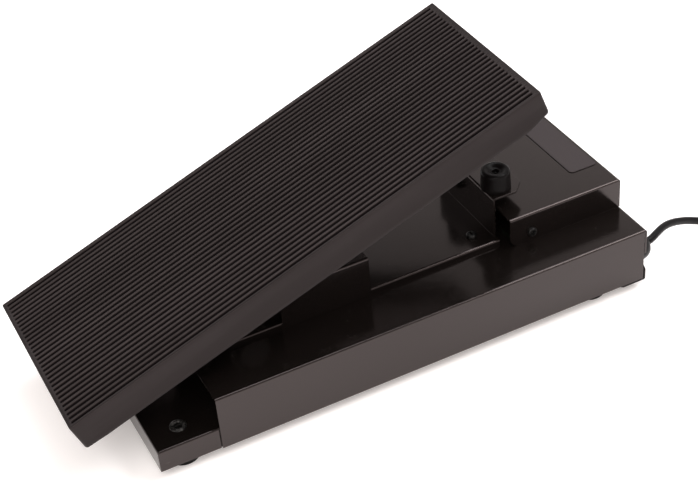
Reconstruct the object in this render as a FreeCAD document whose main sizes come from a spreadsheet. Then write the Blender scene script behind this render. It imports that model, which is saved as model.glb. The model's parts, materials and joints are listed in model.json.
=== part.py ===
"""Expression pedal: a ribbed rubber treadle rocking on a folded-sheet base, with a geared potentiometer.

The part's frame: +X across the pedal, +Y from the heel to the toe, +Z up. The origin is the middle of the
footprint, on the floor. Base pieces are drawn in the base's frame, whose origin is the heel end of the heel
platform at the level of the side panels' lower edges. Treadle pieces are drawn in the treadle's frame, whose
origin is the pivot axis, and whose Y runs along the tread.
"""
import FreeCAD
import Part
import Sketcher
import math
import os
from FreeCAD import Placement, Rotation, Vector

DIMENSIONS = [
    ("origin_y", -120.8, "base frame's origin, along Y"),
    ("foot_drop", 6.4, "side panels' lower edges above the floor"),
    ("sheet", 1.2, "thickness of the folded sheets"),
    ("seam", 0.3, "open seam at folded corners"),
    ("bend_radius", 1.1, "outside radius of the folds"),
    ("base_width", 127.0, "outside width of the base"),
    ("base_length", 277.3, "heel end to toe face"),
    ("cover_heel", 32.0, "heel end of the base cover"),
    ("cover_height", 31.3, "top of the base cover"),
    ("cover_flange_low", 16.4, "lower edge of the cover's toe flange"),
    ("lip_width", 9.0, "inturned lips under the cover"),
    ("lip_heel", 75.0, "heel end of the lips"),
    ("platform_height", 12.4, "top of the heel platform"),
    ("platform_length", 70.0, "platform, with its tongue under the cover"),
    ("platform_step", 0.7, "platform's sides, in from the cover's"),
    ("platform_gap", 0.5, "open joint between the platform's sides and the cover's heel edge"),
    ("plate_inset", 3.8, "bottom plate inside the panels"),
    ("plate_heel", 3.0, "heel end of the bottom plate"),
    ("plate_flange", 7.6, "bottom plate's toe flange above the panels' lower edges"),
    ("plate_wing", 13.8, "full-width stretch of the bottom plate at the toe"),
    ("foot_across", 50.3, "rubber feet, to each side"),
    ("foot_heel", 15.5, "heel feet along the base"),
    ("foot_spacing", 234.5, "heel feet to toe feet"),
    ("foot_radius", 9.2, "rubber foot at its root"),
    ("foot_tread_radius", 8.4, "rubber foot at the floor"),
    ("foot_hole", 2.1, "hole for a foot's screw"),
    ("eyelet_rim", 4.4, "rim radius of a heel eyelet"),
    ("eyelet_barrel", 3.2, "barrel radius of a heel eyelet"),
    ("eyelet_bore", 2.2, "bore radius of a heel eyelet"),
    ("bracket_width", 65.2, "pivot bracket's floor"),
    ("bracket_top", 34.3, "top of the pivot bracket's floor"),
    ("screw_shank", 1.5, "shank radius of the small screws"),
    ("screw_hole", 1.6, "clearance hole for a small screw"),
    ("screw_head", 2.8, "head radius of the small screws"),
    ("screw_head_high", 1.9, "head of the small screws"),
    ("foot_screw_shank", 1.95, "shank radius of the feet's screws"),
    ("pot_screw_shank", 1.3, "shank radius of the potentiometer bracket's screws"),
    ("heel_riser", 52.8, "heel face of the bracket's heel riser"),
    ("toe_riser", 205.7, "heel face of the bracket's toe riser"),
    ("tab_width", 57.4, "bumper tabs"),
    ("toe_tab_top", 58.0, "top of the toe tab"),
    ("toe_tab_end", 226.0, "free end of the toe tab"),
    ("heel_tab_top", 48.2, "top of the heel tab"),
    ("heel_tab_end", 34.5, "free end of the heel tab"),
    ("tab_chamfer", 6.5, "cut corners of the tabs"),
    ("bumper_across", 19.0, "bumpers, to each side"),
    ("toe_bumper_y", 213.1, "toe bumpers along the base"),
    ("heel_bumper_y", 44.0, "heel bumpers along the base"),
    ("bumper_radius", 7.3, "bumper at its top"),
    ("bumper_root", 8.0, "bumper at its root"),
    ("bumper_height", 10.8, "bumper"),
    ("pedestal_width", 67.6, "pivot pedestal"),
    ("pedestal_heel", 81.5, "heel edge of the pedestal"),
    ("pedestal_toe", 130.8, "toe edge of the pedestal"),
    ("pedestal_top", 55.2, "top of the pedestal"),
    ("slot_toe", 106.0, "toe end of the gear's slot"),
    ("pivot_y", 106.7, "pivot axis along the base"),
    ("pivot_z", 64.2, "pivot axis above the panels' lower edges"),
    ("shaft_radius", 3.0, "pivot shaft"),
    ("shaft_half", 28.0, "half the pivot shaft's length"),
    ("bush_radius", 4.5, "outside of the pivot bushings"),
    ("bush_flange", 6.5, "flange radius of the pivot bushings"),
    ("running_gap", 0.05, "radial clearance of the running fits"),
    ("lug_inner", 18.0, "inner face of the pivot lugs"),
    ("lug_sheet", 2.5, "thickness of the pivot lugs"),
    ("lug_foot", 9.0, "inner end of the lugs' feet"),
    ("lug_half", 11.0, "half the lugs' width along Y"),
    ("hanger_inner", 23.0, "inner face of the treadle's hangers"),
    ("hanger_sheet", 2.0, "thickness of the hangers"),
    ("hanger_half", 20.0, "half the hangers' length under the tread plate"),
    ("hanger_end", 7.0, "end radius of the hangers"),
    ("pitch", 19.92, "rest slope of the tread, toe up, in degrees"),
    ("heel_reach", 142.8, "pivot to the tread's heel edge"),
    ("tread_length", 271.5, "tread"),
    ("tread_rise", 24.0, "pivot to the tread's face"),
    ("tread_width", 105.3, "tread at its face"),
    ("skirt_flare", 1.9, "how far the skirt flares on each side"),
    ("skirt_depth", 15.6, "skirt at the sides"),
    ("skirt_end_depth", 12.7, "skirt at the heel and toe"),
    ("skirt_thick", 2.8, "skirt"),
    ("rubber_thick", 3.5, "rubber over the tread plate"),
    ("groove_pitch", 3.2, "grooves across the tread"),
    ("groove_count", 32, "grooves across the tread"),
    ("groove_width", 1.5, "groove between two ribs"),
    ("groove_depth", 1.0, "groove between two ribs"),
    ("heel_rim", 2.0, "plain rim at the heel"),
    ("toe_rim", 3.2, "plain rim at the toe"),
    ("plate_thick", 2.0, "steel tread plate"),
    ("plate_gap", 0.4, "rubber to the tread plate's edges"),
    ("plate_fold", 8.5, "tread plate's folded sides"),
    ("gear_module", 1.0, "gear teeth"),
    ("sector_teeth", 60.0, "teeth on the whole sector's circle"),
    ("pinion_teeth", 12.0, "pinion"),
    ("mesh_angle", 192.0, "direction from the pivot to the pinion, from +Y towards +Z, in degrees"),
    ("gear_thick", 4.0, "sector's face"),
    ("hub_radius", 6.5, "sector's hub"),
    ("hub_length", 8.0, "sector's hub"),
    ("pot_radius", 8.0, "potentiometer's case"),
    ("pot_depth", 8.5, "potentiometer's case"),
    ("pot_face", 5.0, "pinion side of the potentiometer's bracket"),
    ("pot_plate", 1.5, "thickness of the potentiometer's bracket"),
    ("pot_thread", 3.9, "radius of the potentiometer's bushing"),
    ("pot_reach", 4.4, "potentiometer's bushing out of its case"),
    ("housing_width", 76.8, "electronics housing"),
    ("housing_heel", 210.0, "heel edge of the electronics housing"),
    ("housing_top", 48.6, "top of the electronics housing"),
    ("housing_corner", 5.0, "rounded lower corner of the housing's walls"),
    ("housing_screw_y", 222.5, "housing screws along the base"),
    ("housing_screw_z", 37.2, "housing screws' height"),
    ("label_width", 52.9, "label plate"),
    ("label_near", 19.9, "near edge of the label plate"),
    ("label_heel", 258.6, "heel edge of the label plate"),
    ("label_length", 16.6, "label plate"),
    ("label_thick", 0.4, "label plate"),
    ("board_width", 56.0, "circuit board"),
    ("board_heel", 218.0, "heel edge of the circuit board"),
    ("board_length", 46.0, "circuit board"),
    ("board_low", 36.3, "underside of the circuit board"),
    ("board_thick", 1.6, "circuit board"),
    ("gland_x", 51.5, "cable gland across the base"),
    ("gland_z", 12.0, "cable gland above the panels' lower edges"),
    ("gland_radius", 8.0, "cable gland's cap"),
    ("gland_length", 9.0, "cable gland's cap"),
    ("gland_shank", 4.2, "cable gland's shank"),
    ("cord_radius", 2.1, "cord"),
    ("coil_x", 11.6, "centre of the coil"),
    ("coil_y", 396.0, "centre of the coil along the base"),
    ("coil_inner", 18.8, "inside radius of the coil"),
    ("coil_outer", 31.6, "outside radius of the coil"),
    ("coil_height", 17.2, "coil"),
    ("wire_radius", 0.6, "inner wires"),
    ("grommet_neck", 4.0, "grommets for the wires"),
    ("tie_thick", 1.0, "strap round the coil"),
    ("tie_width", 12.0, "strap round the coil"),
    ("tie_slack", 1.0, "strap inside the coil's curve"),
    ("plug_radius", 6.2, "plug's barrel"),
]

doc = FreeCAD.newDocument("expression_pedal")
dims = doc.addObject("Spreadsheet::Sheet", "dims")


def fill_sheet():
    """Writes each driving dimension as name, value and note."""
    for row, (name, value, note) in enumerate(DIMENSIONS, 1):
        dims.set(f"A{row}", name)
        dims.set(f"B{row}", str(value))
        dims.set(f"C{row}", note)
        dims.setAlias(f"B{row}", name)
    doc.recompute()


def size(formula):
    """The number that a formula on the sheet gives now."""
    return float(dims.evalExpression(formula))


# ---------------------------------------------------------------- drawing helpers

nodes = []


def origin_feature(body, role):
    return next(item for item in body.Origin.OriginFeatures if item.Role == role)


def new_body(label, frame="base"):
    """A body that becomes a sub-part, drawn in the base's, the pivot's or the treadle's frame."""
    body = doc.addObject("PartDesign::Body", label)
    body.Label = label
    body.AllowCompound = True
    place(body, frame)
    nodes.append(body)
    return body


def place(item, frame):
    """Binds an object's placement to the frame it is drawn in."""
    if frame == "part":
        return
    angle = size("dims.pitch") if frame == "treadle" else 0.0
    item.Placement = Placement(Vector(0, 0, 0), Rotation(Vector(1, 0, 0), angle))
    if frame == "base":
        item.setExpression("Placement.Base.y", "dims.origin_y")
        item.setExpression("Placement.Base.z", "dims.foot_drop")
        return
    item.setExpression("Placement.Base.y", "dims.origin_y + dims.pivot_y")
    item.setExpression("Placement.Base.z", "dims.foot_drop + dims.pivot_z")
    if frame == "treadle":
        item.setExpression("Placement.Rotation.Angle", "dims.pitch")


def new_sketch(body, plane, start):
    """A sketch on an origin plane, moved along the plane's own axis (+Z, +Y or +X) to start."""
    sketch = body.newObject("Sketcher::SketchObject", body.Name + "_sketch")
    sketch.AttachmentSupport = [(origin_feature(body, plane + "_Plane"), "")]
    sketch.MapMode = "FlatFace"
    offset = f"-({start})" if plane == "XZ" else start
    sketch.setExpression("AttachmentOffset.Base.z", offset)
    return sketch


def bind(sketch, kind, where, formula):
    index = sketch.addConstraint(Sketcher.Constraint(kind, *where, size(formula)))
    sketch.setExpression(f"Constraints[{index}]", formula)


def draw_outline(sketch, corners):
    """A closed outline through corners, each a pair of formulas."""
    spots = [Vector(size(across), size(up), 0) for across, up in corners]
    first = sketch.GeometryCount
    count = len(corners)
    for i in range(count):
        sketch.addGeometry(Part.LineSegment(spots[i], spots[(i + 1) % count]), False)
    for i in range(count):
        following = first + (i + 1) % count
        sketch.addConstraint(Sketcher.Constraint("Coincident", first + i, 2, following, 1))
    for i, (across, up) in enumerate(corners):
        bind(sketch, "DistanceX", (-1, 1, first + i, 1), across)
        bind(sketch, "DistanceY", (-1, 1, first + i, 1), up)


def draw_circle(sketch, across, up, radius):
    centre = Vector(size(across), size(up), 0)
    index = sketch.addGeometry(Part.Circle(centre, Vector(0, 0, 1), size(radius)), False)
    bind(sketch, "Radius", (index,), radius)
    bind(sketch, "DistanceX", (-1, 1, index, 3), across)
    bind(sketch, "DistanceY", (-1, 1, index, 3), up)


def draw(sketch, outlines, circles):
    for corners in outlines:
        draw_outline(sketch, corners)
    for across, up, radius in circles:
        draw_circle(sketch, across, up, radius)


def pad(body, plane, start, length, outlines=(), circles=()):
    """Adds what the outlines and circles enclose, from start along +Z, +Y or +X."""
    sketch = new_sketch(body, plane, start)
    draw(sketch, outlines, circles)
    feature = body.newObject("PartDesign::Pad", body.Name + "_pad")
    feature.Profile = sketch
    feature.setExpression("Length", length)
    feature.Reversed = plane == "XZ"
    body.Tip = feature
    return feature


def cut(body, plane, start, length, outlines=(), circles=()):
    """Takes away what the outlines and circles enclose, from start along +Z, +Y or +X."""
    doc.recompute()
    before = body.Shape.Volume
    sketch = new_sketch(body, plane, start)
    draw(sketch, outlines, circles)
    feature = body.newObject("PartDesign::Pocket", body.Name + "_cut")
    feature.Profile = sketch
    feature.setExpression("Length", length)
    feature.Reversed = plane != "XZ"
    body.Tip = feature
    doc.recompute()
    if not body.Shape.Volume < before - 1e-3:
        raise RuntimeError(f"a cut in {body.Label} takes nothing away")
    return feature


def turned(body, plane, axis_at, corners, axis="V_Axis"):
    """A solid of revolution. Corners are (distance from the upright axis at axis_at, height) formulas,
    or with H_Axis (distance along the level axis, distance from it)."""
    sketch = new_sketch(body, plane, "0")
    if axis == "V_Axis":
        corners = [(f"({axis_at}) + ({out})", up) for out, up in corners]
        foot = Vector(size(axis_at), 0, 0)
        index = sketch.addGeometry(Part.LineSegment(foot, foot + Vector(0, 10, 0)), True)
        sketch.addConstraint(Sketcher.Constraint("Vertical", index))
        bind(sketch, "DistanceX", (-1, 1, index, 1), axis_at)
        sketch.addConstraint(Sketcher.Constraint("DistanceY", -1, 1, index, 1, 0.0))
        sketch.addConstraint(Sketcher.Constraint("DistanceY", index, 1, index, 2, 10.0))
        axis = "Axis0"
    draw_outline(sketch, corners)
    feature = body.newObject("PartDesign::Revolution", body.Name + "_turned")
    feature.Profile = sketch
    feature.ReferenceAxis = (sketch, [axis])
    feature.Angle = 360
    body.Tip = feature
    return feature


def mirrored(body, originals):
    """Repeats features on the other side of the middle plane."""
    feature = body.newObject("PartDesign::Mirrored", body.Name + "_mirrored")
    feature.Originals = originals
    feature.MirrorPlane = (origin_feature(body, "YZ_Plane"), [""])
    body.Tip = feature
    return feature


def rounded(body, radius, chosen):
    """Rounds the edges that chosen(edge) picks from the body as it is so far."""
    doc.recompute()
    base = body.Tip
    names = [f"Edge{i}" for i, edge in enumerate(base.Shape.Edges, 1) if chosen(edge)]
    if not names:
        raise RuntimeError(f"no edge of {body.Label} was picked to be rounded")
    feature = body.newObject("PartDesign::Fillet", body.Name + "_rounded")
    feature.Base = (base, names)
    feature.setExpression("Radius", radius)
    body.Tip = feature
    return feature


def straight_along(edge, axis):
    """True for a straight edge parallel to a unit axis."""
    if len(edge.Vertexes) != 2 or not isinstance(edge.Curve, Part.Line):
        return False
    return abs(edge.Curve.Direction.dot(axis)) > 0.999


def edge_at(edge, **limits):
    """True if the edge's middle is at the given x, y or z, each within a hundredth."""
    middle = edge.CenterOfMass
    return all(abs(abs(getattr(middle, name)) - abs(value)) < 0.01 for name, value in limits.items())


def box_outline(left, right, low, high):
    return [(left, low), (right, low), (right, high), (left, high)]


def channel(half, low, top, thick):
    """Cross-section of an upside-down U: two walls and a top."""
    return [
        (f"-({half})", low),
        (f"-({half})", top),
        (half, top),
        (half, low),
        (f"({half}) - ({thick})", low),
        (f"({half}) - ({thick})", f"({top}) - ({thick})"),
        (f"-(({half}) - ({thick}))", f"({top}) - ({thick})"),
        (f"-(({half}) - ({thick}))", low),
    ]


def new_group(label, single, places, frame="base"):
    """Several equal separate solids as one sub-part: single repeated at places (x, y, z, turn about Z)."""
    nodes.remove(single)
    copies = []
    for x, y, z, turn in places:
        copy = doc.addObject("App::Link", label + "_copy")
        copy.LinkedObject = single
        copy.Placement = Placement(Vector(0, 0, 0), Rotation(Vector(0, 0, 1), turn))
        for name, formula in (("x", x), ("y", y), ("z", z)):
            copy.setExpression("Placement.Base." + name, formula)
        copies.append(copy)
    group = doc.addObject("Part::Compound", label)
    group.Label = label
    group.Links = copies
    place(group, frame)
    nodes.append(group)
    return group


def corners_of(x_list, y_list, z):
    """Places at every pairing of x and y, all at height z, unturned."""
    return [(x, y, z, 0) for x in x_list for y in y_list]


def new_solid(label, shape, frame="part"):
    """A sub-part whose shape comes straight from Part's functions."""
    feature = doc.addObject("Part::Feature", label)
    feature.Label = label
    feature.Shape = shape
    place(feature, frame)
    nodes.append(feature)
    return feature


def pan_screw(
    label, length, shank="dims.screw_shank", head="dims.screw_head", head_high="dims.screw_head_high"
):
    """A pan-head screw with a cross recess: head above Z 0, shank below."""
    body = new_body(label, "part")
    pad(body, "XY", f"-({length})", length, circles=[("0", "0", shank)])
    pad(body, "XY", "0", head_high, circles=[("0", "0", head)])
    top = size(head_high)
    rounded(body, f"({head_high}) * 0.55", lambda edge: abs(edge.CenterOfMass.z - top) < 0.01)
    arm = f"({head}) * 0.62"
    slit = f"({head}) * 0.13"
    depth = f"({head_high}) * 0.7"
    for across, along in ((arm, slit), (slit, arm)):
        outline = box_outline(f"-({across})", across, f"-({along})", along)
        cut(body, "XY", f"({head_high}) - ({depth})", depth, [outline])
    return body


def hex_nut(label, across_flats, bore, thick):
    """A hexagonal nut standing on Z 0."""
    body = new_body(label, "part")
    corners = []
    for i in range(6):
        reach = f"({across_flats}) / 2 / cos(30)"
        corners.append((f"{reach} * cos({60 * i})", f"{reach} * sin({60 * i})"))
    pad(body, "XY", "0", thick, [corners], [("0", "0", bore)])
    return body


def ring(label, inner, outer, thick):
    """A plain washer or sleeve standing on Z 0."""
    body = new_body(label, "part")
    pad(body, "XY", "0", thick, circles=[("0", "0", outer), ("0", "0", inner)])
    return body


X, Y, Z = Vector(1, 0, 0), Vector(0, 1, 0), Vector(0, 0, 1)
HALF = "dims.base_width / 2"
INNER = "dims.base_width / 2 - dims.sheet"
TOE_FOLD = "dims.base_length - dims.sheet"
BOTH_SIDES = ("dims.foot_across", "-dims.foot_across")
FOOT_ROWS = ("dims.foot_heel", "dims.foot_heel + dims.foot_spacing")

# ---------------------------------------------------------------- base


def make_heel_platform():
    """Low tray at the heel, with a narrower tongue that runs under the cover."""
    body = new_body("heel_platform")
    top = "dims.platform_height"
    tray_half = f"{HALF} - dims.platform_step"
    tray = channel(tray_half, "0", top, "dims.sheet")
    pad(body, "XZ", "0", "dims.cover_heel - dims.platform_gap", [tray])
    tongue = channel(f"{INNER} - 0.1", "0", top, "dims.sheet")
    pad(body, "XZ", "dims.cover_heel - 2", "dims.platform_length - dims.cover_heel + 2", [tongue])
    flange = f"{tray_half} - dims.sheet - dims.seam"
    inner = f"{top} - dims.sheet / 2"
    pad(body, "XZ", "0", "dims.sheet", [box_outline(f"-({flange})", flange, "0", inner)])
    holes = [(x, "dims.foot_heel", "dims.eyelet_barrel") for x in BOTH_SIDES]
    cut(body, "XY", f"{top} - 2 * dims.sheet", "3 * dims.sheet", circles=holes)
    high, half = size(top), size(tray_half)
    rounded(
        body,
        "dims.bend_radius",
        lambda edge: (straight_along(edge, Y) and edge_at(edge, x=half, z=high))
        or (straight_along(edge, X) and edge_at(edge, y=0, z=high)),
    )


def make_base_cover():
    """Long cover: top, side panels, inturned lips and a toe flange, folded from one sheet."""
    body = new_body("base_cover")
    top = "dims.cover_height"
    walls = "dims.base_length - dims.sheet - dims.seam - dims.cover_heel"
    pad(body, "XZ", "dims.cover_heel", walls, [channel(HALF, "0", top, "dims.sheet")])
    top_sheet = box_outline(f"-({HALF})", HALF, f"{top} - dims.sheet", top)
    pad(body, "XZ", f"{TOE_FOLD} - 2", "2 + dims.sheet", [top_sheet])
    toe_flange = box_outline(f"-({HALF})", HALF, "dims.cover_flange_low", top)
    pad(body, "XZ", TOE_FOLD, "dims.sheet", [toe_flange])
    lip_end = f"{HALF} - dims.lip_width"
    lips = [
        box_outline(lip_end, INNER, "0", "dims.sheet"),
        box_outline(f"-({INNER})", f"-({lip_end})", "0", "dims.sheet"),
    ]
    lip_length = "dims.base_length - dims.sheet - 3 - dims.lip_heel"
    pad(body, "XZ", "dims.lip_heel", lip_length, lips)
    cut_cover_holes(body)
    high, half, toe = size(top), size(HALF), size("dims.base_length")
    rounded(
        body,
        "dims.bend_radius",
        lambda edge: (straight_along(edge, Y) and edge_at(edge, x=half, z=high))
        or (straight_along(edge, X) and edge_at(edge, y=toe, z=high)),
    )


def cut_cover_holes(body):
    """Holes for the bracket's screws, the wires and the bottom plate's screws."""
    start, length = "dims.cover_height - 2 * dims.sheet", "3 * dims.sheet"
    holes = [(x, y, "dims.screw_hole") for x in BRACKET_SCREW_X for y in BRACKET_SCREW_Y]
    holes += [(x, y, "dims.grommet_neck") for x, y in (POT_WIRE_HOLE, BOARD_WIRE_HOLE, CORD_WIRE_HOLE)]
    cut(body, "XY", start, length, circles=holes)
    screws = [(x, y, "dims.screw_shank") for x in LIP_SCREW_X for y in LIP_SCREW_Y]
    cut(body, "XY", "-1", "dims.sheet + 2", circles=screws)


def make_bottom_plate():
    """Flat closing plate under the base, full width only at the toe, where it turns up."""
    body = new_body("bottom_plate")
    inset = f"{HALF} - dims.plate_inset"
    wing = "dims.base_length - dims.plate_wing"
    outline = [
        (f"-({inset})", "dims.plate_heel"),
        (inset, "dims.plate_heel"),
        (inset, f"{wing} - dims.plate_inset"),
        (HALF, wing),
        (HALF, "dims.base_length"),
        (f"-({HALF})", "dims.base_length"),
        (f"-({HALF})", wing),
        (f"-({inset})", f"{wing} - dims.plate_inset"),
    ]
    holes = [(x, y, "dims.foot_hole") for x in BOTH_SIDES for y in FOOT_ROWS]
    holes += [(x, y, "dims.screw_hole") for x in LIP_SCREW_X for y in LIP_SCREW_Y]
    pad(body, "XY", "-dims.sheet", "dims.sheet", [outline], holes)
    bevel = "dims.plate_flange - 2.2"
    flange = [
        (f"-({HALF})", "-dims.sheet"),
        (HALF, "-dims.sheet"),
        (HALF, bevel),
        (f"{HALF} - 2.2", "dims.plate_flange"),
        (f"-({HALF} - 2.2)", "dims.plate_flange"),
        (f"-({HALF})", bevel),
    ]
    pad(body, "XZ", TOE_FOLD, "dims.sheet", [flange])
    toe = size("dims.base_length")
    low = -size("dims.sheet")
    rounded(body, "dims.sheet", lambda edge: straight_along(edge, X) and edge_at(edge, y=toe, z=low))


def make_toe_panel():
    """Inner panel behind the toe opening, which holds the cable gland."""
    body = new_body("toe_panel")
    half = f"{HALF} - 2"
    outline = box_outline(f"-({half})", half, "dims.sheet", "dims.cover_height - dims.sheet")
    hole = [("dims.gland_x", "dims.gland_z", "dims.gland_shank")]
    pad(body, "XZ", f"{TOE_FOLD} - dims.sheet", "dims.sheet", [outline], hole)


def make_feet():
    """Rubber feet with countersunk screws; spacers and eyelets at the heel, nuts at the toe."""
    foot = new_body("foot", "part")
    height = "dims.foot_drop - dims.sheet"
    profile = [
        ("dims.foot_hole", "0"),
        ("dims.foot_radius", "0"),
        ("dims.foot_radius", "-1.2"),
        ("dims.foot_tread_radius", f"-({height})"),
        ("4.2", f"-({height})"),
        ("4.2", "-2.4"),
        ("dims.foot_hole", "-2.4"),
    ]
    turned(foot, "XZ", "0", profile)
    new_group("rubber_feet", foot, corners_of(BOTH_SIDES, FOOT_ROWS, "-dims.sheet"))

    screw = new_body("foot_screw", "part")
    pad(screw, "XY", "0", "9", circles=[("0", "0", "dims.foot_screw_shank")])
    pad(screw, "XY", "-1.6", "1.6", circles=[("0", "0", "3.6")])
    cut(screw, "XY", "-1.6", "0.9", [box_outline("-2.6", "2.6", "-0.45", "0.45")])
    screw_z = "-dims.sheet - 2.4"
    new_group("foot_screws", screw, corners_of(BOTH_SIDES, FOOT_ROWS, screw_z))

    nut = hex_nut("foot_nut", "7", "dims.foot_screw_shank", "3")
    new_group("foot_nuts", nut, corners_of(BOTH_SIDES, FOOT_ROWS[1:], "0"))

    spacer = ring("heel_spacer", "dims.foot_screw_shank", "dims.eyelet_barrel + 1.4", "8.4")
    new_group("heel_spacers", spacer, corners_of(BOTH_SIDES, FOOT_ROWS[:1], "0"))

    eyelet = new_body("eyelet", "part")
    rim = [
        ("dims.eyelet_bore", "-2.6"),
        ("dims.eyelet_barrel", "-2.6"),
        ("dims.eyelet_barrel", "0"),
        ("dims.eyelet_rim", "0"),
        ("dims.eyelet_rim - 0.3", "0.5"),
        ("dims.eyelet_barrel + 0.2", "0.8"),
        ("dims.eyelet_bore + 0.3", "0.5"),
        ("dims.eyelet_bore", "0"),
    ]
    turned(eyelet, "XZ", "0", rim)
    places = corners_of(BOTH_SIDES, FOOT_ROWS[:1], "dims.platform_height")
    new_group("heel_eyelets", eyelet, places)


LIP_SCREW_X = (f"{HALF} - 7", f"-({HALF} - 7)")
LIP_SCREW_Y = ("90", "175", "262")


def make_plate_screws():
    """Screws up through the bottom plate into the cover's lips."""
    screw = new_body("plate_screw", "part")
    pad(screw, "XY", "0", "4.5", circles=[("0", "0", "dims.screw_shank")])
    pad(screw, "XY", "-1.5", "1.5", circles=[("0", "0", "2.8")])
    cut(screw, "XY", "-1.5", "0.8", [box_outline("-1.9", "1.9", "-0.35", "0.35")])
    cut(screw, "XY", "-1.5", "0.8", [box_outline("-0.35", "0.35", "-1.9", "1.9")])
    new_group("plate_screws", screw, corners_of(LIP_SCREW_X, LIP_SCREW_Y, "-dims.sheet"))


# ---------------------------------------------------------------- pivot bracket and pedestal

BRACKET_SCREW_X = ("22", "-22")
BRACKET_SCREW_Y = ("66", "196")
POT_WIRE_HOLE = ("12", "71.5")
BOARD_WIRE_HOLE = ("12", "213.5")
CORD_WIRE_HOLE = ("25", "268")
POT_BLOCK_HEEL = "222"
CORD_BLOCK_HEEL = "246"
TAB_HALF = "dims.tab_width / 2"


def make_pivot_bracket():
    """Shallow tray with a riser and a bumper tab at each end."""
    body = new_body("pivot_bracket")
    half, top = "dims.bracket_width / 2", "dims.bracket_top"
    length = "dims.toe_riser - dims.heel_riser + dims.sheet"
    section = channel(half, "dims.cover_height", top, "dims.sheet")
    pad(body, "XZ", "dims.heel_riser", length, [section])
    floor_low = f"{top} - dims.sheet"
    toe_riser = box_outline(f"-({TAB_HALF})", TAB_HALF, floor_low, "dims.toe_tab_top")
    pad(body, "XZ", "dims.toe_riser", "dims.sheet", [toe_riser])
    heel_riser = box_outline(f"-({TAB_HALF})", TAB_HALF, floor_low, "dims.heel_tab_top")
    pad(body, "XZ", "dims.heel_riser", "dims.sheet", [heel_riser])
    pad_tab(body, "dims.toe_riser", "dims.toe_tab_end", "dims.toe_tab_top", "-dims.tab_chamfer")
    heel_start = "dims.heel_riser + dims.sheet"
    pad_tab(body, heel_start, "dims.heel_tab_end", "dims.heel_tab_top", "dims.tab_chamfer")
    holes = [(x, y, "dims.screw_hole") for x in BRACKET_SCREW_X for y in BRACKET_SCREW_Y]
    holes.append((*POT_WIRE_HOLE, "dims.grommet_neck"))
    holes += [(POT_SCREW_X, y, "dims.pot_screw_shank") for y in POT_SCREW_Y]
    cut(body, "XY", floor_low, "dims.sheet + 1", circles=holes)
    for y, tab_top in BUMPER_ROWS:
        bores = [(x, y, "dims.screw_hole") for x in BUMPER_X]
        cut(body, "XY", f"{tab_top} - 2 * dims.sheet", "3 * dims.sheet", circles=bores)
    high, side = size(top), size(half)
    rises = [(size("dims.toe_riser"), size("dims.toe_tab_top"))]
    rises.append((size(heel_start), size("dims.heel_tab_top")))
    rounded(
        body,
        "dims.sheet",
        lambda edge: (straight_along(edge, Y) and edge_at(edge, x=side, z=high))
        or any(straight_along(edge, X) and edge_at(edge, y=y, z=z) for y, z in rises),
    )


BUMPER_X = ("dims.bumper_across", "-dims.bumper_across")
BUMPER_ROWS = (("dims.toe_bumper_y", "dims.toe_tab_top"), ("dims.heel_bumper_y", "dims.heel_tab_top"))


def pad_tab(body, start, end, top, chamfer):
    """A flat tab from a riser to its free end, with its two free corners cut."""
    outline = [
        (f"-({TAB_HALF})", start),
        (TAB_HALF, start),
        (TAB_HALF, f"{end} + {chamfer}"),
        (f"{TAB_HALF} - dims.tab_chamfer", end),
        (f"-({TAB_HALF} - dims.tab_chamfer)", end),
        (f"-({TAB_HALF})", f"{end} + {chamfer}"),
    ]
    pad(body, "XY", f"{top} - dims.sheet", "dims.sheet", [outline])


def make_pedestal():
    """Upside-down U over the bracket that carries the pivot, slotted for the sector gear."""
    body = new_body("pivot_pedestal")
    section = channel("dims.pedestal_width / 2", "dims.cover_height", "dims.pedestal_top", "dims.sheet")
    length = "dims.pedestal_toe - dims.pedestal_heel"
    pad(body, "XZ", "dims.pedestal_heel", length, [section])
    slot = box_outline("-dims.gear_thick - 1.5", "1.5", "dims.pedestal_heel - 1", "dims.slot_toe")
    holes = [(x, y, "dims.screw_hole") for x in LUG_SCREW_X for y in LUG_SCREW_Y]
    cut(body, "XY", "dims.pedestal_top - 2 * dims.sheet", "3 * dims.sheet", [slot], holes)
    high, side = size("dims.pedestal_top"), size("dims.pedestal_width / 2")
    rounded(
        body,
        "dims.bend_radius",
        lambda edge: straight_along(edge, Y) and edge_at(edge, x=side, z=high),
    )


LUG_SCREW_X = ("13.5", "-13.5")
LUG_SCREW_Y = ("dims.pivot_y - 7", "dims.pivot_y + 7")


def make_pivot_lugs():
    """Two angle brackets on the pedestal, one each side, that hold the bushings."""
    body = new_body("pivot_lugs", "pivot")
    foot_low = "dims.pedestal_top - dims.pivot_z"
    upright = [
        ("-dims.lug_half", foot_low),
        ("dims.lug_half", foot_low),
        ("dims.lug_half", f"{foot_low} + dims.lug_sheet"),
        ("8", "1"),
        ("5", "7"),
        ("-5", "7"),
        ("-8", "1"),
        ("-dims.lug_half", f"{foot_low} + dims.lug_sheet"),
    ]
    bore = [("0", "0", "dims.bush_radius")]
    wall = pad(body, "YZ", "dims.lug_inner", "dims.lug_sheet", [upright], bore)
    foot = box_outline("dims.lug_foot", "dims.lug_inner", "-dims.lug_half", "dims.lug_half")
    holes = [(LUG_SCREW_X[0], y, "dims.screw_shank") for y in ("-7", "7")]
    base = pad(body, "XY", foot_low, "dims.lug_sheet", [foot], holes)
    mirrored(body, [wall, base])

    screw = pan_screw("lug_screw", "5.2")
    top = "dims.pedestal_top + dims.lug_sheet"
    new_group("lug_screws", screw, corners_of(LUG_SCREW_X, LUG_SCREW_Y, top))


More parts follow.
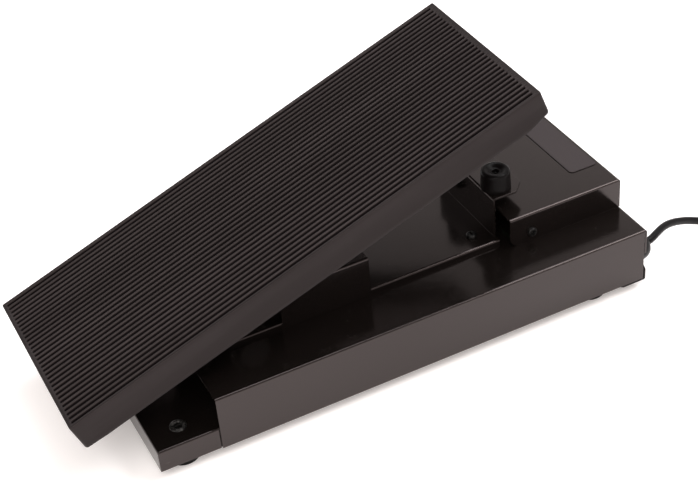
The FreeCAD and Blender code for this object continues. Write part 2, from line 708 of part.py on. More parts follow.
def make_bushings():
    """Flanged bushings in the lugs and friction washers between them and the hangers."""
    bush = new_body("pivot_bushings", "pivot")
    bore = "dims.shaft_radius + dims.running_gap"
    sleeve = [("0", "0", "dims.bush_radius"), ("0", "0", bore)]
    flange = [("0", "0", "dims.bush_flange"), ("0", "0", bore)]
    barrel = pad(bush, "YZ", "dims.lug_inner", "dims.lug_sheet", circles=sleeve)
    collar = pad(bush, "YZ", "dims.lug_inner + dims.lug_sheet", "1", circles=flange)
    mirrored(bush, [barrel, collar])

    washer = new_body("friction_washers", "pivot")
    start = "dims.lug_inner + dims.lug_sheet + 1"
    disc = pad(washer, "YZ", start, f"dims.hanger_inner - ({start})", circles=flange)
    mirrored(washer, [disc])


def make_bumpers():
    """Rubber stops on the tabs, dished on top, each with its screw and nut."""
    profile = [
        ("1.6", "0"),
        ("dims.bumper_root", "0"),
        ("dims.bumper_radius", "dims.bumper_height - 1.6"),
        ("dims.bumper_radius - 0.8", "dims.bumper_height - 0.3"),
        ("dims.bumper_radius - 1.9", "dims.bumper_height"),
        ("2.9", "dims.bumper_height - 1.7"),
        ("2.9", "dims.bumper_height - 5"),
        ("1.6", "dims.bumper_height - 5"),
    ]
    for label, row in (("toe_bumpers", BUMPER_ROWS[0]), ("heel_bumpers", BUMPER_ROWS[1])):
        bumper = new_body(label + "_one", "part")
        turned(bumper, "XZ", "0", profile)
        new_group(label, bumper, corners_of(BUMPER_X, row[:1], row[1]))
    screw = pan_screw("bumper_screw", "9.6", head="2.6")
    nut = hex_nut("bumper_nut", "5.5", "dims.screw_shank", "2.4")
    seats, unders = [], []
    for y, tab_top in BUMPER_ROWS:
        seats += corners_of(BUMPER_X, (y,), f"{tab_top} + dims.bumper_height - 5")
        unders += corners_of(BUMPER_X, (y,), f"{tab_top} - dims.sheet - 2.4")
    new_group("bumper_screws", screw, seats)
    new_group("bumper_nuts", nut, unders)


def make_bracket_screws():
    screw = pan_screw("bracket_screw", "5")
    places = corners_of(BRACKET_SCREW_X, BRACKET_SCREW_Y, "dims.bracket_top")
    new_group("bracket_screws", screw, places)


# ---------------------------------------------------------------- potentiometer and gears

CENTRES = "dims.gear_module * (dims.sector_teeth + dims.pinion_teeth) / 2"
POT_Y = f"{CENTRES} * cos(dims.mesh_angle)"
POT_Z = f"{CENTRES} * sin(dims.mesh_angle)"
POT_SCREW_X = "-8"
POT_SCREW_SHIFTS = ("- 5.5", "+ 5.5")
POT_SCREW_Y = [f"dims.pivot_y + {POT_Y} {shift}" for shift in POT_SCREW_SHIFTS]


def make_pot_bracket():
    """Angle bracket on the bracket's floor that holds the potentiometer."""
    body = new_body("pot_bracket", "pivot")
    low = "dims.bracket_top - dims.pivot_z"
    wall = [
        (f"{POT_Y} - 9", low),
        (f"{POT_Y} + 9", low),
        (f"{POT_Y} + 9", f"{POT_Z} + 6"),
        (f"{POT_Y} + 6", f"{POT_Z} + 9"),
        (f"{POT_Y} - 5", f"{POT_Z} + 9"),
        (f"{POT_Y} - 9", f"{POT_Z} + 5"),
    ]
    hole = [(POT_Y, POT_Z, "dims.pot_thread")]
    pad(body, "YZ", "dims.pot_face", "dims.pot_plate", [wall], hole)
    foot = box_outline("-12", "dims.pot_face + dims.pot_plate", f"{POT_Y} - 9", f"{POT_Y} + 9")
    holes = [(POT_SCREW_X, f"{POT_Y} {shift}", "dims.pot_screw_shank") for shift in POT_SCREW_SHIFTS]
    pad(body, "XY", low, "dims.pot_plate", [foot], holes)

    screw = pan_screw("pot_screw", "2.7", "dims.pot_screw_shank", "2.3", "1.5")
    places = corners_of((POT_SCREW_X,), POT_SCREW_Y, "dims.bracket_top + dims.pot_plate")
    new_group("pot_bracket_screws", screw, places)


def make_pot():
    """Potentiometer: case with a threaded bushing, three terminals, washer, nut and turning shaft."""
    case = new_body("pot_case", "pivot")
    bore = (POT_Y, POT_Z, "dims.shaft_radius + dims.running_gap")
    back = "dims.pot_face + dims.pot_plate"
    pad(case, "YZ", back, "dims.pot_depth", circles=[(POT_Y, POT_Z, "dims.pot_radius")])
    thread = [(POT_Y, POT_Z, "dims.pot_thread")]
    pad(case, "YZ", f"{back} - dims.pot_reach", "dims.pot_reach", circles=thread)
    cut(case, "YZ", f"{back} - dims.pot_reach", "dims.pot_reach + 3", circles=[bore])

    legs = new_body("pot_terminals", "pivot")
    outlines = []
    for shift in ("- 5", "", "+ 5"):
        middle = f"{POT_Y} {shift}"
        leg_low, leg_high = f"{POT_Z} - 13.5", f"{POT_Z} - dims.pot_radius + 1.5"
        outlines.append(box_outline(f"{middle} - 1", f"{middle} + 1", leg_low, leg_high))
    pad(legs, "YZ", f"{back} + 2", "0.6", outlines)

    washer = new_body("pot_washer", "pivot")
    rims = [(POT_Y, POT_Z, "6"), (POT_Y, POT_Z, "dims.pot_thread")]
    pad(washer, "YZ", "dims.pot_face - 0.5", "0.5", circles=rims)
    nut = new_body("pot_nut", "pivot")
    corners = []
    for i in range(6):
        corners.append((f"{POT_Y} + 5.6 * cos({60 * i})", f"{POT_Z} + 5.6 * sin({60 * i})"))
    pad(nut, "YZ", "dims.pot_face - 2.5", "2", [corners], thread)

    shaft = new_body("pot_shaft", "pivot")
    start = "-dims.gear_thick - 1"
    pad(shaft, "YZ", start, f"{back} + 2.5 - ({start})", circles=[(POT_Y, POT_Z, "dims.shaft_radius")])


def involute(angle):
    return math.tan(angle) - angle


def tooth_points(module, teeth, middle, samples=6, backlash=0.1):
    """Points of one gear tooth in the plane, root to tip and back, centred on the angle middle."""
    pitch_radius = module * teeth / 2
    base_radius = pitch_radius * math.cos(math.radians(20))
    root, tip = pitch_radius - 1.25 * module, pitch_radius + module
    half_at_pitch = (math.pi * module / 2 - backlash) / 2 / pitch_radius
    half_at_base = half_at_pitch + involute(math.radians(20))
    start = max(root, base_radius)
    flank = []
    if root < base_radius:
        flank.append((root, half_at_base))
    for i in range(samples):
        radius = start + (tip - start) * i / (samples - 1)
        flank.append((radius, half_at_base - involute(math.acos(min(1, base_radius / radius)))))
    rising = [(radius, middle - half) for radius, half in flank]
    falling = [(radius, middle + half) for radius, half in reversed(flank)]
    return [(radius * math.cos(turn), radius * math.sin(turn)) for radius, turn in rising + falling]


def extruded(points, start, thick, centre=(0, 0)):
    """A flat piece in the YZ plane about centre, from X start on."""
    spots = [Vector(start, centre[0] + y, centre[1] + z) for y, z in points]
    face = Part.Face(Part.makePolygon(spots + spots[:1]))
    return face.extrude(Vector(thick, 0, 0))


def make_sector_gear():
    """Sector gear on the pivot shaft, with a hub and its clamping screw."""
    module, teeth = size("dims.gear_module"), size("dims.sector_teeth")
    thick, step = size("dims.gear_thick"), 2 * math.pi / teeth
    first = math.radians(size("dims.mesh_angle")) - 1.5 * step
    points = []
    for i in range(9):
        points += tooth_points(module, teeth, first + i * step)
    reach = module * teeth / 2 - 1.25 * module
    edges = (first - 0.5 * step, first + 8.5 * step)
    start, end = [(reach * math.cos(turn), reach * math.sin(turn)) for turn in edges]
    hub = size("dims.hub_radius") - 1
    foot_low = (hub * math.cos(edges[0] - 0.9), hub * math.sin(edges[0] - 0.9))
    foot_high = (hub * math.cos(edges[1] + 0.9), hub * math.sin(edges[1] + 0.9))
    web = extruded([foot_low, start] + points + [end, foot_high], -thick, thick)
    length = size("dims.hub_length")
    barrel = Part.makeCylinder(size("dims.hub_radius"), length, Vector(-length, 0, 0), X)
    bore = Part.makeCylinder(size("dims.shaft_radius"), length + 2, Vector(-length - 1, 0, 0), X)
    upward = Part.makeCylinder(1.5, 10, Vector(1 - length + 1.4, 0, 0), Z)
    new_solid("sector_gear", web.fuse(barrel).cut(bore).cut(upward).removeSplitter(), "pivot")
    grub = Part.makeCylinder(1.5, 3.2, Vector(1 - length + 1.4, 0, size("dims.shaft_radius")), Z)
    recess = Part.makeCylinder(0.8, 1.6, Vector(1 - length + 1.4, 0, size("dims.shaft_radius") + 2), Z)
    new_solid("sector_screw", grub.cut(recess), "pivot")


def make_pinion():
    """Small gear pressed on the potentiometer's shaft."""
    module, teeth = size("dims.gear_module"), int(size("dims.pinion_teeth"))
    facing = math.radians(size("dims.mesh_angle")) + math.pi
    points = []
    for i in range(teeth):
        points += tooth_points(module, teeth, facing + 2 * math.pi * i / teeth)
    centre = (size(POT_Y), size(POT_Z))
    thick = size("dims.gear_thick")
    blank = extruded(points, -thick - 0.5, thick + 1, centre)
    bore = Part.makeCylinder(size("dims.shaft_radius"), thick + 4, Vector(-thick - 2, *centre), X)
    new_solid("pinion_gear", blank.cut(bore), "pivot")


# ---------------------------------------------------------------- electronics


def make_housing():
    """Cover over the electronics at the toe, with rounded lower corners at its heel end."""
    body = new_body("electronics_housing")
    half = "dims.housing_width / 2"
    low, top = "dims.cover_height", "dims.housing_top"
    length = "dims.base_length - dims.housing_heel"
    pad(body, "XZ", "dims.housing_heel", length, [channel(half, low, top, "dims.sheet")])
    inner = f"{half} - dims.sheet / 2"
    toe_wall = box_outline(f"-({inner})", inner, low, f"{top} - dims.sheet / 2")
    pad(body, "XZ", TOE_FOLD, "dims.sheet", [toe_wall])
    hole = [("dims.housing_screw_y", "dims.housing_screw_z", "dims.screw_hole")]
    cut(body, "YZ", f"-({half}) - 1", f"2 * ({half}) + 2", circles=hole)
    heel, floor = size("dims.housing_heel"), size(low)
    rounded(
        body,
        "dims.housing_corner",
        lambda edge: straight_along(edge, X) and edge_at(edge, y=heel, z=floor),
    )
    high, side, toe = size(top), size(half), size("dims.base_length")
    rounded(
        body,
        "dims.bend_radius",
        lambda edge: (straight_along(edge, Y) and edge_at(edge, x=side, z=high))
        or (straight_along(edge, X) and edge_at(edge, y=toe, z=high)),
    )


def make_housing_tabs():
    """Angle tabs on the cover that take the housing's screws."""
    body = new_body("housing_tabs")
    wall_face = "dims.housing_width / 2 - dims.sheet"
    section = [
        (f"{wall_face} - 8", "dims.cover_height"),
        (wall_face, "dims.cover_height"),
        (wall_face, "43"),
        (f"{wall_face} - dims.sheet", "43"),
        (f"{wall_face} - dims.sheet", "dims.cover_height + dims.sheet"),
        (f"{wall_face} - 8", "dims.cover_height + dims.sheet"),
    ]
    angle = pad(body, "XZ", "dims.housing_screw_y - 7", "14", [section])
    hole = [("dims.housing_screw_y", "dims.housing_screw_z", "dims.screw_shank")]
    bore = cut(body, "YZ", f"{wall_face} - 3", "4", circles=hole)
    mirrored(body, [angle, bore])


def make_housing_screws():
    """Cross-head screws through the housing's walls."""
    screws = new_body("housing_screws")
    face = "dims.housing_width / 2"
    centre = ("dims.housing_screw_y", "dims.housing_screw_z")
    shank = pad(screws, "YZ", f"{face} - 5", "5", circles=[(*centre, "dims.screw_shank")])
    head = pad(screws, "YZ", face, "1.9", circles=[(*centre, "2.6")])
    arms = []
    for across, up in (("1.6", "0.36"), ("0.36", "dims.screw_hole")):
        outline = box_outline(
            f"{centre[0]} - {across}",
            f"{centre[0]} + {across}",
            f"{centre[1]} - {up}",
            f"{centre[1]} + {up}",
        )
        arms.append(cut(screws, "YZ", f"{face} + 0.7", "1.5", [outline]))
    mirrored(screws, [shank, head] + arms)
    crown = size(face) + size("1.9")
    rounded(
        screws,
        "0.9",
        lambda edge: isinstance(edge.Curve, Part.Circle)
        and edge.Curve.Radius > 2.5
        and edge_at(edge, x=crown),
    )


def make_label_plate():
    """Blank metal label on the housing, with rounded corners."""
    body = new_body("label_plate")
    near, far = "dims.label_near", "dims.label_near - dims.label_width"
    outline = box_outline(far, near, "dims.label_heel", "dims.label_heel + dims.label_length")
    pad(body, "XY", "dims.housing_top", "dims.label_thick", [outline])
    rounded(body, "2.4", lambda edge: straight_along(edge, Z))


def make_board():
    """Circuit board on four standoffs, with its screws, capacitors, chip and terminal block."""
    half, low = "dims.board_width / 2", "dims.board_low"
    toe = "dims.board_heel + dims.board_length"
    post_x = (f"{half} - 4", f"-({half} - 4)")
    post_y = ("dims.board_heel + 4", f"{toe} - 5")
    board = new_body("circuit_board")
    outline = box_outline(f"-({half})", half, "dims.board_heel", toe)
    holes = [(x, y, "dims.screw_shank") for x in post_x for y in post_y]
    pad(board, "XY", low, "dims.board_thick", [outline], holes)

    post = ring("board_standoff", "dims.screw_shank", "3", f"{low} - dims.cover_height")
    new_group("board_standoffs", post, corners_of(post_x, post_y, "dims.cover_height"))
    screw = pan_screw("board_screw", "6")
    top = f"{low} + dims.board_thick"
    new_group("board_screws", screw, corners_of(post_x, post_y, top))

    parts = new_body("board_components")
    cans = [("-18", f"dims.board_heel + {along}", "3.2") for along in (12, 21)]
    pad(parts, "XY", top, "7.5", circles=cans)
    chip = box_outline("-12", "-2", "dims.board_heel + 16", "dims.board_heel + 22.5")
    pad(parts, "XY", top, "3.2", [chip])

    blocks = new_body("terminal_blocks")
    for middle, heel, poles in ((BOARD_WIRE_HOLE[0], POT_BLOCK_HEEL, 3), ("0", CORD_BLOCK_HEEL, 4)):
        half_wide = f"{2.5 * poles + 1}"
        block = box_outline(f"{middle} - {half_wide}", f"{middle} + {half_wide}", heel, f"{heel} + 8")
        pad(blocks, "XY", top, "8", [block])
        shifts = [5 * (i - (poles - 1) / 2) for i in range(poles)]
        wells = [(f"{middle} + ({shift})", f"{heel} + 4", "1.9") for shift in shifts]
        cut(blocks, "XY", f"{top} + 5", "4", circles=wells)


def make_gland():
    """Domed cable gland on the toe face, tapering onto the cord, with its locknut inside."""
    place_at = "dims.base_length"
    body = new_body("cable_gland")
    radius, length = "dims.gland_radius", "dims.gland_length"
    profile = [
        ("-8", "0"),
        (length, "0"),
        (length, "dims.cord_radius + 1.1"),
        (f"{length} * 0.93", f"{radius} * 0.52"),
        (f"{length} * 0.78", f"{radius} * 0.72"),
        (f"{length} * 0.55", f"{radius} * 0.89"),
        (f"{length} * 0.28", radius),
        ("0", radius),
        ("0", "dims.gland_shank"),
        ("-8", "dims.gland_shank"),
    ]
    turned(body, "YZ", "0", profile, "H_Axis")
    body.setExpression("Placement.Base.x", "dims.gland_x")
    body.setExpression("Placement.Base.y", f"dims.origin_y + {place_at}")
    body.setExpression("Placement.Base.z", "dims.foot_drop + dims.gland_z")

    nut = new_body("gland_locknut")
    back = f"{TOE_FOLD} - dims.sheet"
    corners = []
    for i in range(6):
        turn = 60 * i
        corners.append((f"dims.gland_x + 7.4 * cos({turn})", f"dims.gland_z + 7.4 * sin({turn})"))
    bore = [("dims.gland_x", "dims.gland_z", "dims.gland_shank")]
    pad(nut, "XZ", f"{back} - 4", "4", [corners], bore)


# ---------------------------------------------------------------- treadle

TREAD_HEEL = "-dims.heel_reach"
TREAD_TOE = "dims.tread_length - dims.heel_reach"
SKIRT_LOW = "dims.tread_rise - dims.skirt_depth"
PLATE_TOP = "dims.tread_rise - dims.rubber_thick"


def make_treadle_rubber():
    """Rubber cover: ribbed face, and a skirt that flares and stands deeper along the sides."""
    body = new_body("treadle_rubber", "treadle")
    face, flare = "dims.tread_width / 2", "dims.skirt_flare"
    outer = [
        (f"-({face} + {flare})", SKIRT_LOW),
        (f"{face} + {flare}", SKIRT_LOW),
        (face, "dims.tread_rise"),
        (f"-({face})", "dims.tread_rise"),
    ]
    pad(body, "XZ", TREAD_HEEL, "dims.tread_length", [outer])
    inside, widen = f"{face} - dims.skirt_thick", f"{flare} * 0.8"
    hollow = [
        (f"-({inside} + {widen})", f"{SKIRT_LOW} - 1"),
        (f"{inside} + {widen}", f"{SKIRT_LOW} - 1"),
        (inside, PLATE_TOP),
        (f"-({inside})", PLATE_TOP),
    ]
    start = f"{TREAD_HEEL} + dims.skirt_thick"
    cut(body, "XZ", start, "dims.tread_length - 2 * dims.skirt_thick", [hollow])
    drop = "dims.skirt_depth - dims.skirt_end_depth"
    wide = f"2 * ({face} + {flare}) + 2"
    ends = [
        [(TREAD_HEEL, f"{SKIRT_LOW} - 1"), (f"{TREAD_HEEL} + 9", f"{SKIRT_LOW} - 1"),
         (f"{TREAD_HEEL} + 9", SKIRT_LOW), (TREAD_HEEL, f"{SKIRT_LOW} + {drop}")],
        [(TREAD_TOE, f"{SKIRT_LOW} - 1"), (TREAD_TOE, f"{SKIRT_LOW} + {drop}"),
         (f"{TREAD_TOE} - 9", SKIRT_LOW), (f"{TREAD_TOE} - 9", f"{SKIRT_LOW} - 1")],
    ]
    cut(body, "YZ", f"-({wide}) / 2", wide, ends)
    upright = size("dims.skirt_end_depth")
    ends_at = (size(TREAD_HEEL), size(TREAD_TOE))
    rounded(
        body,
        "2.5",
        lambda edge: abs(abs(edge.CenterOfMass.x) - size(face)) < 2
        and any(abs(edge.CenterOfMass.y - end) < 0.01 for end in ends_at)
        and abs(edge.Length - upright) < 0.4,
    )
    cut_grooves(body)


def cut_grooves(body):
    """Tapered grooves along the tread, evenly pitched across it."""
    first = "-dims.groove_pitch * (dims.groove_count - 1) / 2"
    top = "dims.tread_rise"
    groove = [
        (f"{first} - dims.groove_width / 2", f"{top} + 0.2"),
        (f"{first} - dims.groove_width / 4", f"{top} - dims.groove_depth"),
        (f"{first} + dims.groove_width / 4", f"{top} - dims.groove_depth"),
        (f"{first} + dims.groove_width / 2", f"{top} + 0.2"),
    ]
    length = "dims.tread_length - dims.heel_rim - dims.toe_rim"
    feature = cut(body, "XZ", f"{TREAD_HEEL} + dims.heel_rim", length, [groove])
    pattern = body.newObject("PartDesign::LinearPattern", "grooves")
    pattern.Originals = [feature]
    pattern.Direction = (origin_feature(body, "X_Axis"), [""])
    pattern.setExpression("Length", "dims.groove_pitch * (dims.groove_count - 1)")
    pattern.setExpression("Occurrences", "dims.groove_count")
    body.Tip = pattern


def make_treadle_plate():
    """Steel plate with folded sides inside the rubber cover."""
    body = new_body("treadle_plate", "treadle")
    half = "dims.tread_width / 2 - dims.skirt_thick - dims.plate_gap"
    section = channel(half, f"{PLATE_TOP} - dims.plate_fold", PLATE_TOP, "dims.plate_thick")
    start = f"{TREAD_HEEL} + dims.skirt_thick + dims.plate_gap"
    length = "dims.tread_length - 2 * (dims.skirt_thick + dims.plate_gap)"
    pad(body, "XZ", start, length, [section])
    holes = [(x, y, "2") for x in RIVET_X for y in RIVET_Y]
    cut(body, "XY", f"{PLATE_TOP} - dims.plate_thick - 1", "dims.plate_thick + 2", circles=holes)


RIVET_X = ("15", "-15")
RIVET_Y = ("13", "-13")


def make_hanger():
    """Channel riveted under the tread plate, whose two ears hang on the pivot shaft."""
    body = new_body("treadle_hanger", "treadle")
    top = f"{PLATE_TOP} - dims.plate_thick"
    half = "dims.hanger_inner + dims.hanger_sheet"
    web = box_outline(f"-({half})", half, "-dims.hanger_half", "dims.hanger_half")
    holes = [(x, y, "2") for x in RIVET_X for y in RIVET_Y]
    pad(body, "XY", f"{top} - dims.hanger_sheet", "dims.hanger_sheet", [web], holes)
    ear = [
        ("-dims.hanger_half", top),
        ("-dims.hanger_half", f"{top} - 5"),
        ("-dims.hanger_end", "0"),
        ("-dims.hanger_end * 0.71", "-dims.hanger_end * 0.71"),
        ("0", "-dims.hanger_end"),
        ("dims.hanger_end * 0.71", "-dims.hanger_end * 0.71"),
        ("dims.hanger_end", "0"),
        ("dims.hanger_half", f"{top} - 5"),
        ("dims.hanger_half", top),
    ]
    bore = [("0", "0", "dims.shaft_radius")]
    ear_pad = pad(body, "YZ", "dims.hanger_inner", "dims.hanger_sheet", [ear], bore)
    mirrored(body, [ear_pad])


def make_rivets():
    """Round-head rivets that hold the hanger under the tread plate."""
    rivets = new_body("hanger_rivets", "treadle")
    spots = [(x, y) for x in RIVET_X for y in RIVET_Y]
    under = f"{PLATE_TOP} - dims.plate_thick - dims.hanger_sheet"
    shank = [(x, y, "2") for x, y in spots]
    head = [(x, y, "3.4") for x, y in spots]
    pad(rivets, "XY", under, "dims.plate_thick + dims.hanger_sheet", circles=shank)
    pad(rivets, "XY", f"{under} - 1.4", "1.4", circles=head)
    low = size(under) - size("1.4")
    rounded(rivets, "1.1", lambda edge: abs(edge.CenterOfMass.z - low) < 0.01)


def make_shaft():
    """Pivot shaft with a groove and a clip at each end."""
    shaft = new_body("pivot_shaft", "pivot")
    outside = "dims.hanger_inner + dims.hanger_sheet"
    rod = [("0", "0", "dims.shaft_radius")]
    pad(shaft, "YZ", "-dims.shaft_half", "2 * dims.shaft_half", circles=rod)
    groove = [("0", "0", "dims.shaft_radius + 1"), ("0", "0", "2.3")]
    for start in (outside, f"-({outside}) - 0.8"):
        cut(shaft, "YZ", start, "0.8", circles=groove)

    clip = new_body("shaft_clips", "pivot")
    disc = pad(clip, "YZ", outside, "0.8", circles=[("0", "0", "5"), ("0", "0", "2.3")])
    mouth = box_outline("-1.6", "1.6", "0", "6")
    gap = cut(clip, "YZ", f"{outside} - 0.1", "1", [mouth])
    mirrored(clip, [disc, gap])


# ---------------------------------------------------------------- cord

LEAD_ROUTE = [
    (51.5, 286.3, 18.4),
    (49.5, 293.0, 18.3),
    (45.6, 300.6, 17.4),
    (42.3, 307.0, 16.1),
    (39.9, 313.8, 14.0),
    (38.0, 322.4, 10.0),
    (37.9, 330.6, 5.9),
    (39.0, 339.0, 3.1),
    (40.4, 349.0, 2.1),
    (41.4, 361.0, 2.15),
    (41.6, 373.0, 2.5),
    (41.4, 385.0, 2.9),
    (41.0, 396.0, 3.1),
]
TAIL_ROUTE = [
    (41.0, 396.0, 16.1),
    (41.3, 406.0, 15.8),
    (39.6, 417.0, 14.0),
    (34.4, 427.0, 11.0),
    (25.6, 433.8, 8.2),
    (15.0, 436.9, 6.6),
    (4.0, 437.4, 6.2),
]


def tube(route, radius):
    """A solid tube on straight runs joined by tangent arcs, each as large as its runs allow."""
    points = [Vector(*point) for point in route]
    edges, start, radii = [], points[0], []
    for before, corner, after in zip(points, points[1:], points[2:]):
        into, out = (corner - before), (after - corner)
        run = 0.45 * min(into.Length, out.Length)
        turn = into.getAngle(out)
        into.normalize()
        out.normalize()
        first, last = corner - into * run, corner + out * run
        bend = run / math.tan(turn / 2)
        radii.append(round(bend, 1))
        inward = (out - into).normalize()
        centre = corner + inward * (bend / math.cos(turn / 2))
        middle = centre - inward * bend
        edges.append(Part.LineSegment(start, first).toShape())
        edges.append(Part.Arc(first, middle, last).toShape())
        start = last
    edges.append(Part.LineSegment(start, points[-1]).toShape())
    path = Part.Wire(edges)
    heading = points[1] - points[0]
    section = Part.Wire([Part.makeCircle(radius, points[0], heading)])
    solid = path.makePipeShell([section], True, False)
    share = solid.Volume / (math.pi * radius ** 2 * path.Length)
    print("bend radii", radii, "length", round(path.Length, 1), "volume share", round(share, 4))
    if abs(share - 1) > 0.01:
        raise RuntimeError("the cord's tube has the wrong volume")
    return solid


def base_route(route):
    """A route given along the base, moved into the part's frame."""
    return [(x, y + size("dims.origin_y"), z) for x, y, z in route]


def make_cord():
    """Cord from the gland to the coil, the tied coil, and the tail to the plug."""
    radius = size("dims.cord_radius")
    new_solid("cord_lead", tube(base_route(LEAD_ROUTE), radius))
    new_solid("cord_tail", tube(base_route(TAIL_ROUTE), radius))

    coil = new_body("cord_coil", "part")
    low, high = "dims.tie_thick", "dims.tie_thick + dims.coil_height"
    profile = [
        ("dims.coil_inner", f"{low} + 1"),
        ("dims.coil_inner + 1", low),
        ("dims.coil_outer - 1", low),
        ("dims.coil_outer", f"{low} + 1"),
        ("dims.coil_outer", f"{high} - 1"),
        ("dims.coil_outer - 1", high),
        ("dims.coil_inner + 1", high),
        ("dims.coil_inner", f"{high} - 1"),
    ]
    turned(coil, "XZ", "0", profile)
    coil.setExpression("Placement.Base.x", "dims.coil_x")
    coil.setExpression("Placement.Base.y", "dims.origin_y + dims.coil_y")

    tie = new_body("coil_tie", "part")
    half = "dims.tie_width / 2"
    near, far = "dims.coil_inner - dims.tie_slack", "dims.coil_outer"
    high_out = f"{high} + dims.tie_thick"
    ring_outline = box_outline(f"{near} - dims.tie_thick", f"{far} + dims.tie_thick", "0", high_out)
    window = box_outline(near, far, low, high)
    pad(tie, "XZ", f"-({half})", "dims.tie_width", [ring_outline, window])
    angle = -72
    tie.Placement = Placement(Vector(0, 0, 0), Rotation(Z, angle))
    tie.setExpression("Placement.Base.x", "dims.coil_x")
    tie.setExpression("Placement.Base.y", "dims.origin_y + dims.coil_y")


def make_wires():
    """Wires from the potentiometer and from the cord to the board, and the grommets they pass through."""
    radius = size("dims.wire_radius")
    lanes = (-1, 0, 1)
    pot = [tube(base_route(pot_wire_route(lane)), radius) for lane in lanes]
    new_solid("pot_wires", Part.makeCompound(pot))
    output = [tube(base_route(output_wire_route(lane)), radius) for lane in lanes[::2]]
    new_solid("output_wires", Part.makeCompound(output))

    grommet = new_body("grommet", "part")
    sheet, neck = "dims.sheet", "dims.grommet_neck"
    profile = [
        ("3.1", f"-{sheet} - 0.6"),
        (f"{neck} + 1.2", f"-{sheet} - 0.6"),
        (f"{neck} + 1.2", f"-{sheet}"),
        (neck, f"-{sheet}"),
        (neck, "0"),
        (f"{neck} + 1.2", "0"),
        (f"{neck} + 0.8", "0.8"),
        ("3.1", "0.8"),
    ]
    turned(grommet, "XZ", "0", profile)
    tops = ("dims.bracket_top", "dims.cover_height", "dims.cover_height")
    holes = (POT_WIRE_HOLE, BOARD_WIRE_HOLE, CORD_WIRE_HOLE)
    places = [(x, y, top, 0) for (x, y), top in zip(holes, tops)]
    new_group("wire_grommets", grommet, places)


def pot_wire_route(lane):
    """One of three wires from the potentiometer's legs, under the cover, to the board's heel block."""
    x, y = 12 + 1.7 * lane, 71.5 + 0.6 * lane
    return [
        (8.8, 71.5 + 5 * lane, 49.6),
        (9.4 + 0.6 * lane, 71.5 + 3.4 * lane, 46.0),
        (x, y, 42.0),
        (x, y + 0.2, 36.5),
        (x, y + 3.2, 31.0),
        (x, y + 12, 27.4),
        (x + 1.5, 110, 25.6),
        (x + 2.0, 146, 24.9),
        (x + 1.2, 180, 25.8),
        (x, 200, 27.4),
        (x, 210, 31.0),
        (x, 213.6, 37.0),
        (x, 214.4, 43.0),
        (x, 217.2, 46.8),
        (x, 222, 47.3),
    ]


def output_wire_route(lane):
    """One of two wires from the gland's inner end to the board's toe block."""
    return [
        (51.5 + lane, 269.3, 18.4),
        (51.2 + lane, 264.5, 18.6),
        (48.4 + lane * 0.9, 259.0, 20.0),
        (42.6 + lane * 0.2, 255.2 - lane * 0.9, 22.6),
        (35.6, 255.4 - lane * 1.3, 26.0),
        (29.4, 259.4 - lane * 1.3, 29.6),
        (25.8, 265.2 - lane * 1.2, 33.6),
        (24.8, 267.9 - lane * 1.2, 38.6),
        (23.6, 268.6 - lane * 1.2, 43.6),
        (20.0 - lane * 0.5, 267.6 - lane * 1.2, 47.4),
        (14.0 - lane * 1.0, 264.4 - lane * 1.0, 48.8),
        (9.0 - lane * 2.0, 259.4 - lane * 0.6, 48.2),
        (7.5 - lane * 2.5, 254.0, 47.3),
    ]


def make_plug():
    """Phone plug lying beside the coil: boot, barrel, sleeve, insulator and tip along one axis."""
    end = TAIL_ROUTE[-1]
    profiles = {
        "plug_boot": [
            ("-6", "dims.cord_radius"), ("0", "dims.cord_radius"), ("0", "0"),
            ("14", "0"), ("14", "4.6"), ("-6", "2.9"),
        ],
        "plug_barrel": [
            ("14", "0"), ("46", "0"), ("46", "4.8"), ("44.5", "dims.plug_radius"),
            ("16", "dims.plug_radius"), ("14", "dims.plug_radius - 1"),
        ],
        "plug_sleeve": [("46", "0"), ("46", "3.175"), ("67", "3.175"), ("67", "0")],
        "plug_insulator": [("67", "0"), ("67", "3.0"), ("68.6", "3.0"), ("68.6", "0")],
        "plug_tip": [
            ("68.6", "0"), ("68.6", "3.1"), ("70.6", "2.3"), ("72.4", "3.1"), ("76.4", "0.9"), ("76.4", "0"),
        ],
    }
    for label, profile in profiles.items():
        body = new_body(label, "part")
        flipped = [(f"-({along})", out) for along, out in profile]
        turned(body, "XZ", "0", flipped, "H_Axis")
        body.Placement = Placement(Vector(end[0], 0, end[2]), Rotation())
        body.setExpression("Placement.Base.y", f"dims.origin_y + {end[1]}")


def build():
    """Makes every sub-part."""
    fill_sheet()
    make_heel_platform()
    make_base_cover()
    make_bottom_plate()
    make_toe_panel()
    make_feet()
    make_plate_screws()
    make_pivot_bracket()
    make_pedestal()
    make_pivot_lugs()
    make_bushings()
    make_bumpers()
    make_bracket_screws()
    make_pot_bracket()
    make_pot()
    make_sector_gear()
    make_pinion()
    make_housing()
    make_housing_tabs()
    make_housing_screws()
    make_label_plate()
    make_board()
    make_gland()
    make_treadle_rubber()
    make_treadle_plate()
    make_hanger()
    make_rivets()
    make_shaft()
    make_wires()
    make_cord()
    make_plug()


def check():
    """Stops if any object failed, or if a sub-part's shape is missing or broken."""
    doc.recompute()
    for item in doc.Objects:
        if "Invalid" in item.State or "Error" in item.State:
            raise RuntimeError(f"{item.Label} did not recompute")
    for node in nodes:
        if node.Shape.isNull() or not node.Shape.isValid() or not node.Shape.Solids:
            raise RuntimeError(f"{node.Label} has no valid solid")


def export():
    os.makedirs("parts", exist_ok=True)
    for node in nodes:
        node.Shape.exportStep(f"parts/{node.Label}.step")
        print(node.Label, len(node.Shape.Solids), round(node.Shape.Volume))


build()
check()
export()
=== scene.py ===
"""Looks for the expression pedal: black enamelled sheet, ribbed rubber tread, moulded stops and cord."""
import json
import math

import bmesh
import bpy
from mathutils import Matrix, Vector


